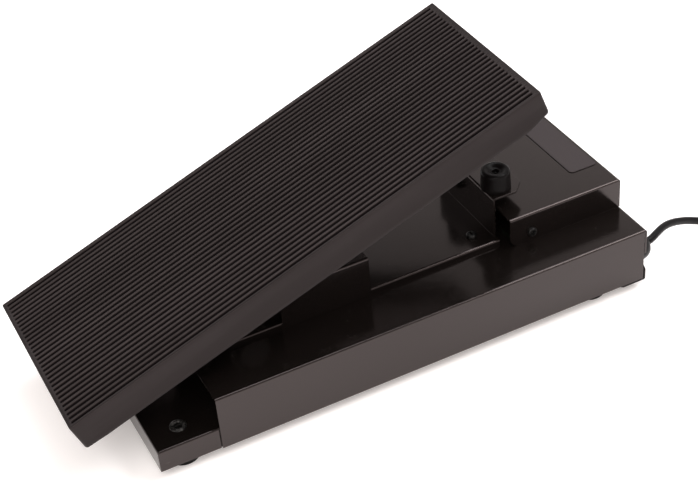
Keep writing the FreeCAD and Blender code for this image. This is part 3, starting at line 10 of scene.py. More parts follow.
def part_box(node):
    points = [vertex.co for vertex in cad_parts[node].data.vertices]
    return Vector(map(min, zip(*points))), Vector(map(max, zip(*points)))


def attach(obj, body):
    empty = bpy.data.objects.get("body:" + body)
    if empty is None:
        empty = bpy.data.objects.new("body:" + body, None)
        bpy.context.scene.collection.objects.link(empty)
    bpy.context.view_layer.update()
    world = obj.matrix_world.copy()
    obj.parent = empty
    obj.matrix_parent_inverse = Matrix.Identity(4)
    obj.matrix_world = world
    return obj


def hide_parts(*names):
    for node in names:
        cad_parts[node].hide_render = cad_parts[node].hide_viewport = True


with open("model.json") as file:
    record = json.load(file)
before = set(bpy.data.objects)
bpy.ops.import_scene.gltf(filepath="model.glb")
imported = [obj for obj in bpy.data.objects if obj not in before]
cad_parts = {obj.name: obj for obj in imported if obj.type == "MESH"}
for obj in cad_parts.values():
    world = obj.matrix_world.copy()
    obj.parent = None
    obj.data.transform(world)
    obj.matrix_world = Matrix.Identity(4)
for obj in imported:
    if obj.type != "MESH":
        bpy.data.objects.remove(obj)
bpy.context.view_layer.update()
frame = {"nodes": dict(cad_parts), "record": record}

MM = 0.001

# ------------------------------------------------------------------ camera and cord

VIEW_AZIMUTH = 66.361
VIEW_ELEVATION = 37.291
VIEW_ROLL = -5.509
CAMERA_PLACE = (0.60156, -0.24811, 0.54695)
LENS = 82.39
SENSOR_WIDTH = 36
# the base's heel edge, and millimetres along the base from there to its toe face
BASE_HEEL = -120.8 * MM
TOE_FACE = 277.3
CORD_RADIUS = 2.1 * MM
# (across, along the base, up) in millimetres
LEAD_ROUTE = [
    (51.5, 286.3, 18.4),
    (50.9, 289.8, 18.7),
    (47.6, 296.0, 18.6),
    (43.6, 303.6, 17.4),
    (41.1, 311.6, 15.0),
    (39.3, 320.0, 11.4),
    (38.4, 329.0, 7.0),
    (39.0, 338.0, 3.4),
    (40.4, 349.0, 2.1),
    (41.4, 361.0, 2.15),
    (41.6, 373.0, 2.5),
    (41.4, 385.0, 2.9),
    (41.0, 396.0, 3.1),
]
TAIL_ROUTE = [
    (41.0, 396.0, 16.1),
    (41.3, 406.0, 15.8),
    (39.6, 417.0, 14.0),
    (34.4, 427.0, 11.0),
    (25.6, 433.8, 8.2),
    (15.0, 436.9, 6.6),
    (4.0, 437.4, 6.2),
]
COIL_CENTRE = (11.6, 396.0)
COIL_OUTER_TURN = 29.4
COIL_LOW_TURN = 3.1
TURN_IN = 4.2
TURN_UP = 13.0 / 3
TURN_POINTS = 24
# each turn's place: how many turns in from the outside, and how many layers up
COIL_SLOTS = [(0, 0), (1, 0), (2, 0), (2, 1), (1, 1), (0, 1), (0, 2), (1, 2), (1, 3), (0, 3)]
STEP_TIME = 0.2
LAST_STEP_LATE = 0.25


def make_camera():
    """Above the near side of the heel, turned a little in its own view."""
    azimuth, elevation, roll = (math.radians(turn) for turn in (VIEW_AZIMUTH, VIEW_ELEVATION, VIEW_ROLL))
    back = Vector((
        math.sin(azimuth) * math.cos(elevation),
        -math.cos(azimuth) * math.cos(elevation),
        math.sin(elevation),
    ))
    level = (-back).cross(Vector((0, 0, 1))).normalized()
    upright = level.cross(-back)
    across = level * math.cos(roll) + upright * math.sin(roll)
    up = upright * math.cos(roll) - level * math.sin(roll)
    data = bpy.data.cameras.new("camera")
    data.sensor_width = SENSOR_WIDTH
    data.lens = LENS
    camera = bpy.data.objects.new("camera", data)
    turn = Matrix((across, up, back)).transposed().to_4x4()
    camera.matrix_world = Matrix.Translation(CAMERA_PLACE) @ turn
    bpy.context.collection.objects.link(camera)
    bpy.context.scene.camera = camera


def from_base(point):
    """A place given in millimetres along the base, in the row frame."""
    x, y, z = point
    return Vector((x * MM, y * MM + BASE_HEEL, z * MM))


def smooth_step(value):
    value = min(max(value, 0.0), 1.0)
    return value * value * (3 - 2 * value)


def coil_slot(turns):
    """(turns in, layers up) after that many turns: each turn steps to the next slot at its end, and the last
    step comes late, so that the tail leaves outside the turn below it."""
    last = len(COIL_SLOTS) - 1
    place = 0.0
    for step in range(1, last + 1):
        start = step - STEP_TIME if step < last else step + LAST_STEP_LATE - STEP_TIME
        place += smooth_step((turns - start) / STEP_TIME)
    low = min(int(place), last - 1)
    share = place - low
    return [a + (b - a) * share for a, b in zip(COIL_SLOTS[low], COIL_SLOTS[low + 1])]


def coil_route():
    """The coil's turns, between the lead's last point and the tail's first."""
    points = []
    for i in range(1, len(COIL_SLOTS) * TURN_POINTS):
        turns = i / TURN_POINTS
        inward, layer = coil_slot(turns)
        radius = COIL_OUTER_TURN - TURN_IN * inward
        angle = 2 * math.pi * turns
        x = COIL_CENTRE[0] + radius * math.cos(angle)
        y = COIL_CENTRE[1] + radius * math.sin(angle)
        points.append((x, y, COIL_LOW_TURN + TURN_UP * layer))
    return points


def make_cord():
    """One smooth curve from the gland, through the coil, to the plug."""
    route = [from_base(point) for point in LEAD_ROUTE + coil_route() + TAIL_ROUTE]
    curve = bpy.data.curves.new("cord", "CURVE")
    curve.dimensions = "3D"
    curve.bevel_depth = 1.0
    curve.bevel_resolution = 5
    curve.use_fill_caps = True
    spline = curve.splines.new("NURBS")
    spline.points.add(len(route) - 1)
    for point, place in zip(spline.points, route):
        point.co = (*place, 1)
        point.radius = CORD_RADIUS
    spline.order_u = 3
    spline.use_endpoint_u = True
    spline.resolution_u = 4
    cord = bpy.data.objects.new("cord", curve)
    bpy.context.collection.objects.link(cord)
    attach(cord, "base")
    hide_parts("cord_lead", "cord_coil", "cord_tail")
    return cord


make_camera()
cord = make_cord()

# ------------------------------------------------------------------ material helpers


class Shader:
    """A material built from nodes, whose coordinates are metres on the object."""

    def __init__(self, name):
        self.material = bpy.data.materials.new(name)
        self.material.use_nodes = True
        self.tree = self.material.node_tree
        self.surface = self.tree.nodes["Principled BSDF"]
        self.place = self.node("ShaderNodeTexCoord").outputs["Object"]

    def node(self, kind, settings=None, **inputs):
        """A node, with its settings, and its inputs given as values or as sockets to link."""
        made = self.tree.nodes.new(kind)
        for key, value in (settings or {}).items():
            setattr(made, key, value)
        for key, value in inputs.items():
            self.feed(made.inputs[key.replace("_", " ")], value)
        return made

    def feed(self, socket, value):
        if isinstance(value, bpy.types.NodeSocket):
            self.tree.links.new(value, socket)
        else:
            socket.default_value = value

    def set(self, **inputs):
        """Sets or links inputs of the surface."""
        for key, value in inputs.items():
            self.feed(self.surface.inputs[key.replace("_", " ")], value)

    def stretched(self, scale, turn=(0, 0, 0)):
        """Coordinates turned and then scaled along each axis."""
        turned = self.node("ShaderNodeMapping", Vector=self.place, Rotation=turn)
        return self.node("ShaderNodeMapping", Vector=turned.outputs[0], Scale=scale).outputs[0]

    def noise(self, scale, detail=3.0, roughness=0.5, place=None):
        """Grey noise from 0 to 1, with about scale grains to the metre."""
        made = self.node("ShaderNodeTexNoise", Vector=place or self.place, Scale=scale, Detail=detail)
        made.inputs["Roughness"].default_value = roughness
        return made.outputs["Fac"]

    def spots(self, scale, low, high):
        """Small round spots: 1 at each cell's centre, falling to 0 between distances low and high."""
        cells = self.node("ShaderNodeTexVoronoi", Vector=self.place, Scale=scale)
        return self.spread(cells.outputs["Distance"], low, high, 1.0, 0.0)

    def spread(self, value, low, high, to_low, to_high):
        """value, from low..high to to_low..to_high, clamped."""
        made = self.node("ShaderNodeMapRange")
        for key, number in zip(("Value", "From Min", "From Max", "To Min", "To Max"),
                               (value, low, high, to_low, to_high)):
            self.feed(made.inputs[key], number)
        return made.outputs[0]

    def math(self, operation, first, second):
        made = self.node("ShaderNodeMath", {"operation": operation})
        self.feed(made.inputs[0], first)
        self.feed(made.inputs[1], second)
        return made.outputs[0]

    def blend(self, share, first, second):
        """A colour between first and second."""
        made = self.node("ShaderNodeMix", {"data_type": "RGBA"})
        self.feed(made.inputs[0], share)
        self.feed(made.inputs[6], first)
        self.feed(made.inputs[7], second)
        return made.outputs[2]

    def bump(self, height, distance, strength=1.0, normal=None):
        made = self.node("ShaderNodeBump", Height=height, Distance=distance, Strength=strength)
        if normal is not None:
            self.feed(made.inputs["Normal"], normal)
        return made.outputs[0]

    def soft_edges(self, radius):
        """Normals rounded over the solid's sharp edges."""
        return self.node("ShaderNodeBevel", {"samples": 6}, Radius=radius).outputs[0]


def colour(red, green, blue):
    return (red, green, blue, 1.0)


WARM = colour(1.0, 0.83, 0.81)


# ------------------------------------------------------------------ materials


def enamel(name, specular):
    """Black stove enamel on folded sheet: deep, warm, with faint orange peel and specks of dust."""
    shader = Shader(name)
    cloud = shader.noise(14, 4)
    grain = shader.noise(260, 3)
    dust = shader.spots(420, 0.10, 0.16)
    sparse = shader.spread(shader.noise(90, 2), 0.60, 0.66, 0.0, 0.35)
    deep = shader.blend(cloud, colour(0.0030, 0.0023, 0.0020), colour(0.0052, 0.0040, 0.0036))
    dusty = shader.blend(shader.math("MULTIPLY", dust, sparse), deep, colour(0.07, 0.064, 0.06))
    rough = shader.spread(shader.math("ADD", cloud, grain), 0.6, 1.4, 0.11, 0.17)
    peel = shader.bump(shader.noise(620, 2), 0.00001, 0.35, shader.soft_edges(0.3 * MM))
    shader.set(Base_Color=dusty, Roughness=rough, IOR=1.5, Normal=peel, Specular_Tint=WARM)
    shader.set(Specular_IOR_Level=specular)
    return shader.material


def tread_rubber():
    """Dull black moulded rubber: fine grain, a few paler rubs along the ribs, and painted shade in the
    grooves and on the skirt.
    """
    shader = Shader("treadle_rubber")
    pitch = math.radians(TREAD_PITCH)
    along = shader.stretched((55, 5, 55), (-pitch, 0, 0))
    streak = shader.noise(1.0, 4, 0.6, along)
    cloud = shader.noise(9, 3)
    grain = shader.noise(1500, 2)
    mix = shader.math("MULTIPLY", shader.spread(streak, 0.42, 0.72, 0.0, 1.0), cloud)
    worn = shader.blend(mix, colour(0.0075, 0.0062, 0.0064), colour(0.028, 0.0235, 0.0243))
    # painted shade: the groove layer darkens the base colour and lowers the specular, in the grooves and on
    # the skirt
    deep = shader.spread(shader.node("ShaderNodeAttribute", {"attribute_name": GROOVE_SHADE_LAYER}).outputs["Fac"],
                         0.02, 0.75, 0.0, 1.0)
    base = shader.blend(deep, worn, colour(0.0022, 0.0016, 0.0017))
    rough = shader.spread(shader.math("ADD", streak, cloud), 0.7, 1.3, 0.54, 0.40)
    normal = shader.bump(shader.math("ADD", grain, cloud), 0.00006, 0.5)
    shader.set(Base_Color=base, Roughness=rough, Normal=normal, Specular_Tint=WARM)
    shader.set(Specular_IOR_Level=shader.spread(deep, 0.0, 1.0, 0.33, 0.02))
    return shader.material


def plain_rubber():
    """Black rubber of the stops, feet, grommets and boot, with a slight bloom."""
    shader = Shader("foot_rubber")
    cloud = shader.noise(120, 4)
    base = shader.blend(cloud, colour(0.0022, 0.0017, 0.0017), colour(0.0052, 0.0041, 0.0041))
    rough = shader.spread(cloud, 0.3, 0.7, 0.30, 0.42)
    shader.set(Base_Color=base, Roughness=rough, Normal=shader.bump(shader.noise(1700, 2), 0.00004, 0.4))
    shader.set(Specular_IOR_Level=0.07)
    return shader.material


def zinc_plate():
    """Bright zinc on steel, with a soft spangle and fine scratches."""
    shader = Shader("zinc_steel")
    spangle = shader.node("ShaderNodeTexVoronoi", Vector=shader.place, Scale=170.0).outputs["Color"]
    tone = shader.blend(0.25, colour(0.46, 0.46, 0.43), spangle)
    grey = shader.blend(0.82, tone, colour(0.42, 0.42, 0.40))
    scratch = shader.noise(1.0, 2, 0.5, shader.stretched((60, 2600, 2600)))
    rough = shader.spread(scratch, 0.3, 0.7, 0.26, 0.42)
    normal = shader.bump(scratch, 0.00001, 0.4, shader.soft_edges(0.15 * MM))
    shader.set(Base_Color=grey, Metallic=1.0, Roughness=rough, Normal=normal)
    return shader.material


def black_oxide(name, paler):
    """Blackened steel of the small screws and eyelets, rubbed paler in patches."""
    shader = Shader(name)
    worn = shader.spread(shader.noise(900, 3), 0.45, 0.75, 0.0, 1.0)
    base = shader.blend(worn, colour(0.006, 0.0055, 0.0055), colour(paler, paler * 0.97, paler * 0.93))
    shader.set(Base_Color=base, Metallic=0.6, Normal=shader.soft_edges(0.12 * MM), Specular_IOR_Level=0.3)
    shader.set(Roughness=shader.spread(worn, 0.0, 1.0, 0.38, 0.28))
    return shader.material


def ground_steel():
    """Turned and ground bar."""
    shader = Shader("ground_steel")
    lines = shader.noise(1.0, 2, 0.5, shader.stretched((5200, 40, 40)))
    rough = shader.spread(lines, 0.3, 0.7, 0.16, 0.30)
    shader.set(Base_Color=colour(0.55, 0.55, 0.54), Metallic=1.0, Roughness=rough)
    shader.set(Normal=shader.bump(lines, 0.00001, 0.4))
    return shader.material


def bronze():
    """Sintered bearing bronze, oily and finely pored."""
    shader = Shader("bronze")
    pores = shader.spots(1900, 0.18, 0.34)
    base = shader.blend(pores, colour(0.52, 0.32, 0.15), colour(0.22, 0.13, 0.06))
    shader.set(Base_Color=base, Metallic=1.0, Roughness=0.36, Normal=shader.bump(pores, -0.00003, 0.5))
    return shader.material


def nylon():
    """Natural nylon of the gears and washers."""
    shader = Shader("nylon")
    cloud = shader.noise(150, 3)
    base = shader.blend(cloud, colour(0.70, 0.67, 0.56), colour(0.80, 0.78, 0.68))
    shader.set(Base_Color=base, Roughness=0.42, Subsurface_Weight=0.12)
    shader.surface.inputs["Subsurface Radius"].default_value = (0.002, 0.0016, 0.001)
    shader.set(Normal=shader.soft_edges(0.12 * MM))
    return shader.material


def pressed_can():
    """Dull aluminium can of the potentiometer."""
    shader = Shader("pot_metal")
    grain = shader.noise(700, 3)
    shader.set(Base_Color=shader.blend(grain, colour(0.44, 0.44, 0.44), colour(0.58, 0.58, 0.57)))
    shader.set(Metallic=1.0, Roughness=shader.spread(grain, 0.3, 0.7, 0.30, 0.45))
    return shader.material


def tinned_leg():
    """Tinned legs of the potentiometer."""
    shader = Shader("tinned")
    grain = shader.noise(1500, 3)
    shader.set(Base_Color=shader.blend(grain, colour(0.60, 0.60, 0.57), colour(0.72, 0.72, 0.69)))
    shader.set(Metallic=1.0, Roughness=0.25, Normal=shader.bump(grain, 0.00004, 0.6))
    return shader.material


def label_film():
    """Blank satin label, a shade paler than the housing, with a hair-line border."""
    shader = Shader("label_plate")
    low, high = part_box("label_plate")
    middle = (low + high) / 2
    spot = shader.node("ShaderNodeSeparateXYZ", Vector=shader.place)
    edges = []
    for axis, centre, half in ((0, middle.x, (high.x - low.x) / 2), (1, middle.y, (high.y - low.y) / 2)):
        away = shader.math("SUBTRACT", spot.outputs[axis], centre)
        inset = shader.math("SUBTRACT", half, shader.math("ABSOLUTE", away, 0.0))
        edges.append(shader.spread(inset, 0.7 * MM, 0.85 * MM, 1.0, 0.0))
    border = shader.math("MAXIMUM", *edges)
    grain = shader.noise(900, 3)
    face = shader.blend(grain, colour(0.0105, 0.0083, 0.0096), colour(0.0135, 0.0107, 0.0124))
    base = shader.blend(border, face, colour(0.0065, 0.0052, 0.0060))
    shader.set(Base_Color=base, Roughness=shader.spread(grain, 0.3, 0.7, 0.33, 0.42), IOR=1.5)
    shader.set(Specular_Tint=WARM)
    shader.set(Normal=shader.bump(grain, 0.00002, 0.4, shader.soft_edges(0.15 * MM)))
    return shader.material


def circuit_board():
    """Green solder resist over woven glass, with paler tracks."""
    shader = Shader("board")
    weave = shader.node("ShaderNodeTexWave", Vector=shader.place, Scale=320.0).outputs["Fac"]
    tracks = shader.node("ShaderNodeTexBrick", Vector=shader.place, Scale=90.0).outputs["Fac"]
    woven = shader.math("MULTIPLY", weave, 0.3)
    mask = shader.blend(woven, colour(0.012, 0.085, 0.03), colour(0.02, 0.12, 0.045))
    base = shader.blend(shader.math("MULTIPLY", tracks, 0.8), mask, colour(0.05, 0.20, 0.07))
    shader.set(Base_Color=base, Roughness=0.24)
    return shader.material


def moulding(name, base, roughness, specular=0.5):
    """A moulded plastic with a fine spark-eroded grain."""
    shader = Shader(name)
    grain = shader.noise(1300, 3)
    darker = colour(*[0.78 * part for part in base])
    shader.set(Base_Color=shader.blend(grain, darker, colour(*base)), Roughness=roughness)
    shader.set(Normal=shader.bump(grain, 0.00004, 0.5, shader.soft_edges(0.15 * MM)))
    shader.set(Specular_IOR_Level=specular)
    return shader.material


def cord_jacket():
    """Smooth PVC with the faint lay of the cores beneath it."""
    shader = Shader("cord_jacket")
    grain = shader.noise(380, 4)
    base = shader.blend(grain, colour(0.0025, 0.0022, 0.0026), colour(0.0055, 0.0050, 0.0056))
    shader.set(Base_Color=base, Roughness=shader.spread(grain, 0.3, 0.7, 0.34, 0.46))
    shader.set(Normal=shader.bump(grain, 0.00005, 0.5), Specular_IOR_Level=0.12)
    return shader.material


def strap_fabric():
    """Looped strap: a dense nap of short threads."""
    shader = Shader("tie_strap")
    nap = shader.noise(2600, 3, 0.7)
    base = shader.blend(nap, colour(0.006, 0.006, 0.007), colour(0.045, 0.044, 0.046))
    shader.set(Base_Color=base, Roughness=0.9, Sheen_Weight=0.5, Normal=shader.bump(nap, 0.0002, 0.8))
    return shader.material


def nickel():
    """Polished nickel of the plug's contacts."""
    shader = Shader("plug_contact")
    haze = shader.noise(420, 4)
    shader.set(Base_Color=colour(0.70, 0.67, 0.62), Metallic=1.0)
    shader.set(Roughness=shader.spread(haze, 0.35, 0.7, 0.09, 0.20))
    return shader.material


def hook_up_wire():
    """Black insulated wire, a little glossy."""
    shader = Shader("wire")
    tone = shader.noise(160, 3)
    shader.set(Base_Color=shader.blend(tone, colour(0.012, 0.012, 0.013), colour(0.024, 0.023, 0.024)))
    shader.set(Roughness=shader.spread(tone, 0.3, 0.7, 0.26, 0.4))
    return shader.material


# ------------------------------------------------------------------ mesh helpers


def add_mesh(name, body, mesh, material, smooth_angle=35):
    """Links a mesh as a piece that rides on a body, with its creases kept sharp."""
    piece = bpy.data.objects.new(name, mesh)
    bpy.context.collection.objects.link(piece)
    mesh.materials.append(material)
    mesh.shade_smooth()
    mesh.set_sharp_from_angle(angle=math.radians(smooth_angle))
    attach(piece, body)
    return piece


def arc(centre, radius, start, end, steps):
    """Points on a round stretch, from start to end in degrees."""
    turns = [math.radians(start + (end - start) * i / steps) for i in range(steps + 1)]
    return [(centre[0] + radius * math.cos(turn), centre[1] + radius * math.sin(turn)) for turn in turns]


def lathe(bm, profile, place, segments=96):
    """Turns a closed or axis-to-axis profile of (radius, height) in millimetres about place's own Z."""
    rings = []
    for radius, height in profile:
        if radius < 1e-6:
            rings.append([bm.verts.new(place @ Vector((0, 0, height * MM)))])
            continue
        ring = []
        for i in range(segments):
            turn = 2 * math.pi * i / segments
            spot = Vector((radius * MM * math.cos(turn), radius * MM * math.sin(turn), height * MM))
            ring.append(bm.verts.new(place @ spot))
        rings.append(ring)
    closed = len(rings[0]) > 1 and len(rings[-1]) > 1
    pairs = list(zip(rings, rings[1:])) + ([(rings[-1], rings[0])] if closed else [])
    for low, high in pairs:
        if len(low) == len(high) == 1:
            continue
        for i in range(segments):
            j = (i + 1) % segments
            corners = [low[i % len(low)], low[j % len(low)], high[j % len(high)], high[i % len(high)]]
            bm.faces.new(list(dict.fromkeys(corners)))


def turned_pieces(name, body, material, profile, places, replaced, segments=96):
    """Equal turned pieces in one mesh, standing for a CAD node."""
    bm = bmesh.new()
    for place in places:
        lathe(bm, profile, place, segments)
    bmesh.ops.recalc_face_normals(bm, faces=bm.faces)
    mesh = bpy.data.meshes.new(name)
    bm.to_mesh(mesh)
    bm.free()
    piece = add_mesh(name, body, mesh, material)
    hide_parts(replaced)
    return piece


# ------------------------------------------------------------------ the tread

# vertex layer of painted shade, from groove depth and SKIRT_SHADE
GROOVE_SHADE_LAYER = "groove"
TREAD_PITCH = 19.92
TREAD_HEEL = -142.8
TREAD_LENGTH = 271.5
TREAD_RISE = 24.0
TREAD_HALF = 52.65
GROOVE_PITCH = 3.2
GROOVES = 32
# painted shade: the skirt is darkened as much as a groove this deep
SKIRT_SHADE = 0.26
# half of a groove's section, from its middle out to the middle of the rib beside it: (across, depth)
GROOVE_SECTION = [(0.0, 1.05), (0.35, 1.02), (0.62, 0.88), (0.82, 0.58), (0.97, 0.29), (1.12, 0.10),
                  (1.27, 0.0), (1.44, -0.06), (1.6, -0.08)]
GROOVE_ENDS = [(0.0, 0.0), (0.18, 0.45), (0.42, 0.78), (0.75, 0.95), (1.2, 1.0)]
HEEL_RIM = 2.1
TOE_RIM = 3.2
CROWN = 0.08
EDGE_ROUND = 0.5
CORNER_ROUND = 0.9
SKIRT_FLARE = 1.85
SKIRT_SIDE = 15.55
SKIRT_HEEL = 15.2
SKIRT_TOE = 12.4
SKIRT_RISE = 5.0
SKIRT_WALL = 2.6
SKIRT_BOW = 0.25
SHARPEST_CORNER = 0.4
RUBBER_THICK = 3.5
# the rubber's inner face, as shares of the ribbed face's width and length
INNER_WIDTH = 0.97
INNER_LENGTH = 0.985
ROWS_BETWEEN_ENDS = 24


def tread_place():
    """From the tread's own millimetres (across, along, above the pivot) to the row frame."""
    joints = frame["record"]["behaviour"]["joints"]
    pivot = next(joint for joint in joints if joint["name"] == "treadle_pivot")
    turn = Matrix.Rotation(math.radians(TREAD_PITCH), 4, "X")
    return Matrix.Translation(pivot["pos_m"]) @ turn @ Matrix.Scale(MM, 4)


def across_stations():
    """(x, depth of groove there) over the ribbed width, in order."""
    stations = []
    first = -GROOVE_PITCH * (GROOVES - 1) / 2
    for i in range(GROOVES):
        middle = first + GROOVE_PITCH * i
        left = [(middle - away, depth) for away, depth in reversed(GROOVE_SECTION[1:-1])]
        right = [(middle + away, depth) for away, depth in GROOVE_SECTION]
        stations += left + right
    return [(first - GROOVE_SECTION[-1][0], GROOVE_SECTION[-1][1])] + stations


def along_stations():
    """(y, share of the groove's depth there) from the heel rim to the toe rim, in order."""
    heel, toe = TREAD_HEEL + HEEL_RIM, TREAD_HEEL + TREAD_LENGTH - TOE_RIM
    start = [(heel + away, share) for away, share in GROOVE_ENDS]
    end = [(toe - away, share) for away, share in reversed(GROOVE_ENDS)]
    inner_low, inner_high = start[-1][0], end[0][0]
    middle = [(inner_low + (inner_high - inner_low) * i / ROWS_BETWEEN_ENDS, 1.0)
              for i in range(1, ROWS_BETWEEN_ENDS)]
    return start + middle + end


def skirt_depth(y):
    """Depth of the skirt's lower edge at y: shallower at the ends than along the sides."""
    toe = TREAD_HEEL + TREAD_LENGTH
    end, inside = (SKIRT_HEEL, y - TREAD_HEEL) if y < TREAD_HEEL + TREAD_LENGTH / 2 else (SKIRT_TOE, toe - y)
    return end + (SKIRT_SIDE - end) * smooth_step(inside / SKIRT_RISE)


def rim_spot(x_share, y_share, half_x, low_y, high_y, radius):
    """A spot on a rounded rectangle, from its place on the square round the ribbed face."""
    middle, half_y = (low_y + high_y) / 2, (high_y - low_y) / 2
    x, y = half_x * x_share, half_y * y_share
    corner_x, corner_y = half_x - radius, half_y - radius
    if radius > 0 and abs(x) > corner_x and abs(y) > corner_y:
        away = Vector((abs(x) - corner_x, abs(y) - corner_y))
        away = away / max(away.length, 1e-9) * radius
        x = math.copysign(corner_x + away.x, x)
        y = math.copysign(corner_y + away.y, y)
    return x, middle + y


def skirt_rings():
    """The skirt's section from the ribbed face over the edge, down outside, under and up inside:
    (how far out from the face's edge, share of the depth, fixed drop)."""
    rings = [(-EDGE_ROUND - 0.15, 0.0, 0.0)]
    for degrees in (25, 50, 75):
        turn = math.radians(degrees)
        rings.append((EDGE_ROUND * (math.sin(turn) - 1), 0.0, EDGE_ROUND * (1 - math.cos(turn))))
    for share in (0.12, 0.3, 0.5, 0.7, 0.88):
        bow = SKIRT_BOW * math.sin(math.pi * share)
        rings.append((SKIRT_FLARE * share - bow, share, 0.0))
    rings += [(SKIRT_FLARE, 1.0, -0.5), (SKIRT_FLARE - 0.15, 1.0, -0.12), (SKIRT_FLARE - 0.5, 1.0, 0.0)]
    inner = SKIRT_FLARE - SKIRT_WALL
    rings += [(inner + 0.7, 1.0, 0.0), (inner + 0.15, 1.0, -0.3), (inner, 1.0, -0.9)]
    rings.append((-SKIRT_WALL, 0.0, RUBBER_THICK))
    return rings


def make_tread():
    """Ribbed rubber cover: face, flared skirt and the hollow under it, as one closed mesh."""
    bm = bmesh.new()
    place = tread_place()
    columns, rows = across_stations(), along_stations()
    middle_face = (rows[0][0] + rows[-1][0]) / 2
    top = [[bm.verts.new(place @ Vector((x, y, TREAD_RISE - CROWN - depth * share))) for y, share in rows]
           for x, depth in columns]
    inner_columns = [x * INNER_WIDTH for x, _ in columns]
    inner_rows = [middle_face + (y - middle_face) * INNER_LENGTH for y, _ in rows]
    bottom = [[bm.verts.new(place @ Vector((x, y, TREAD_RISE - RUBBER_THICK))) for y in inner_rows]
              for x in inner_columns]
    for sheet, flip in ((top, False), (bottom, True)):
        for i in range(len(columns) - 1):
            for j in range(len(rows) - 1):
                corners = [sheet[i][j], sheet[i + 1][j], sheet[i + 1][j + 1], sheet[i][j + 1]]
                bm.faces.new(corners[::-1] if flip else corners)
    edge = ([(i, 0) for i in range(len(columns))]
            + [(len(columns) - 1, j) for j in range(1, len(rows))]
            + [(i, len(rows) - 1) for i in range(len(columns) - 2, -1, -1)]
            + [(0, j) for j in range(len(rows) - 2, 0, -1)])
    loops = [[top[i][j] for i, j in edge]]
    for out, share, drop in skirt_rings():
        spots = [skirt_spot(columns, rows, i, j, out, share, drop) for i, j in edge]
        loops.append([bm.verts.new(place @ spot) for spot in spots])
    loops.append([bottom[i][j] for i, j in edge])
    for outer, inner in zip(loops, loops[1:]):
        for k in range(len(edge)):
            following = (k + 1) % len(edge)
            bm.faces.new([outer[k], inner[k], inner[following], outer[following]])
    bmesh.ops.recalc_face_normals(bm, faces=bm.faces)
    mesh = bpy.data.meshes.new("treadle_rubber_moulded")
    bm.to_mesh(mesh)
    bm.free()
    # painted shade per vertex: groove depth on the ribbed face, SKIRT_SHADE on the skirt and underside
    layer = mesh.attributes.new(GROOVE_SHADE_LAYER, "FLOAT", "POINT")
    grooves = [depth * share for _, depth in columns for _, share in rows]
    skirt = [SKIRT_SHADE] * (len(layer.data) - len(grooves))
    for spot, depth in zip(layer.data, grooves + skirt):
        spot.value = depth
    piece = add_mesh("treadle_rubber_moulded", "treadle", mesh, tread_rubber(), 60)
    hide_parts("treadle_rubber")


def skirt_spot(columns, rows, i, j, out, share, drop):
    """Where the skirt's ring with that out, share and drop passes below the face's edge point (i, j)."""
    half_face = columns[-1][0]
    low_face, high_face = rows[0][0], rows[-1][0]
    x_share = columns[i][0] / half_face
    y_share = (rows[j][0] - (low_face + high_face) / 2) / ((high_face - low_face) / 2)
    radius = max(CORNER_ROUND + out, SHARPEST_CORNER)
    inward = min(out, 0.0)
    low_y, high_y = TREAD_HEEL - inward, TREAD_HEEL + TREAD_LENGTH + inward
    x, y = rim_spot(x_share, y_share, TREAD_HALF + out, low_y, high_y, radius)
    return Vector((x, y, TREAD_RISE - share * skirt_depth(y) - drop))


# ------------------------------------------------------------------ moulded rubber and plastic


def upright(x, y, z):
    """A place in millimetres, standing on +Z."""
    return Matrix.Translation((x * MM, y * MM + BASE_HEEL, z * MM))


FOOT_DROP = 6.4
FOOT_RADIUS = 9.2
BUMPER_ACROSS = 19.0
BUMPER_SPOTS = {"toe_bumpers": (213.1, FOOT_DROP + 58.0), "heel_bumpers": (44.0, FOOT_DROP + 48.2)}
GLAND_RADIUS = 8.0
GLAND_NOSE = 6.2
GLAND_TAPER = 4.2


def make_bumpers(material):
    """Rubber stops with a rounded rim round a dish, and a hollow for the screw."""
    profile = [(1.5, 0.0), (7.95, 0.0), (8.0, 0.25), (7.9, 2.2), (7.75, 5.2), (7.65, 8.6)]
    profile += arc((5.9, 9.0), 1.75, 5, 90, 8)
    profile += [(5.3, 10.68), (4.6, 10.4), (3.9, 9.85), (3.3, 9.35), (2.7, 9.1), (2.3, 9.15)]
    profile += [(2.0, 8.95), (1.85, 8.5), (1.8, 6.2), (1.8, 5.75), (1.5, 5.75)]
    for node, (y, z) in BUMPER_SPOTS.items():
        places = [upright(x, y, z) for x in (BUMPER_ACROSS, -BUMPER_ACROSS)]
        turned_pieces(node + "_moulded", "base", material, profile, places, node)


def make_feet(material):
    """Rubber feet: a shallow cone with rounded edges, a flat tread and a recess for the screw."""
    profile = [(2.15, 0.0), (9.0, 0.0)] + arc((8.9, -0.3), 0.3, 60, 0, 3) + [(9.15, -1.4), (8.8, -3.4)]
    profile += arc((7.7, -4.2), 1.0, 0, -90, 5) + arc((4.7, -4.7), 0.5, -90, -180, 3)
    profile += [(4.2, -2.5), (2.15, -2.4)]
    low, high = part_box("rubber_feet")
    inset = FOOT_RADIUS * MM
    places = [Matrix.Translation((x, y, high.z)) for x in (low.x + inset, high.x - inset)
              for y in (low.y + inset, high.y - inset)]
    turned_pieces("rubber_feet_moulded", "base", material, profile, places, "rubber_feet")


def make_gland(material):
    """Domed nut of the cable gland, with a soft nose that closes on the cord."""
    profile = [(0.0, -8.0), (4.2, -8.0), (4.2, 0.0)]
    profile += [(GLAND_RADIUS - 0.3, 0.0), (GLAND_RADIUS, 0.3), (GLAND_RADIUS, 2.0)]
    for degrees in range(12, 90, 12):
        turn = math.radians(degrees)
        profile.append((GLAND_RADIUS - GLAND_TAPER * (1 - math.cos(turn)), 2.0 + GLAND_NOSE * math.sin(turn)))
    profile += [(3.4, 8.5), (3.25, 8.85), (2.9, 9.0), (0.0, 9.0)]
    turn = Matrix.Rotation(math.radians(-90), 4, "X")
    across, _, height = LEAD_ROUTE[0]
    place = Matrix.Translation(from_base((across, TOE_FACE, height))) @ turn
    return turned_pieces("cable_gland_moulded", "base", material, profile, [place], "cable_gland")


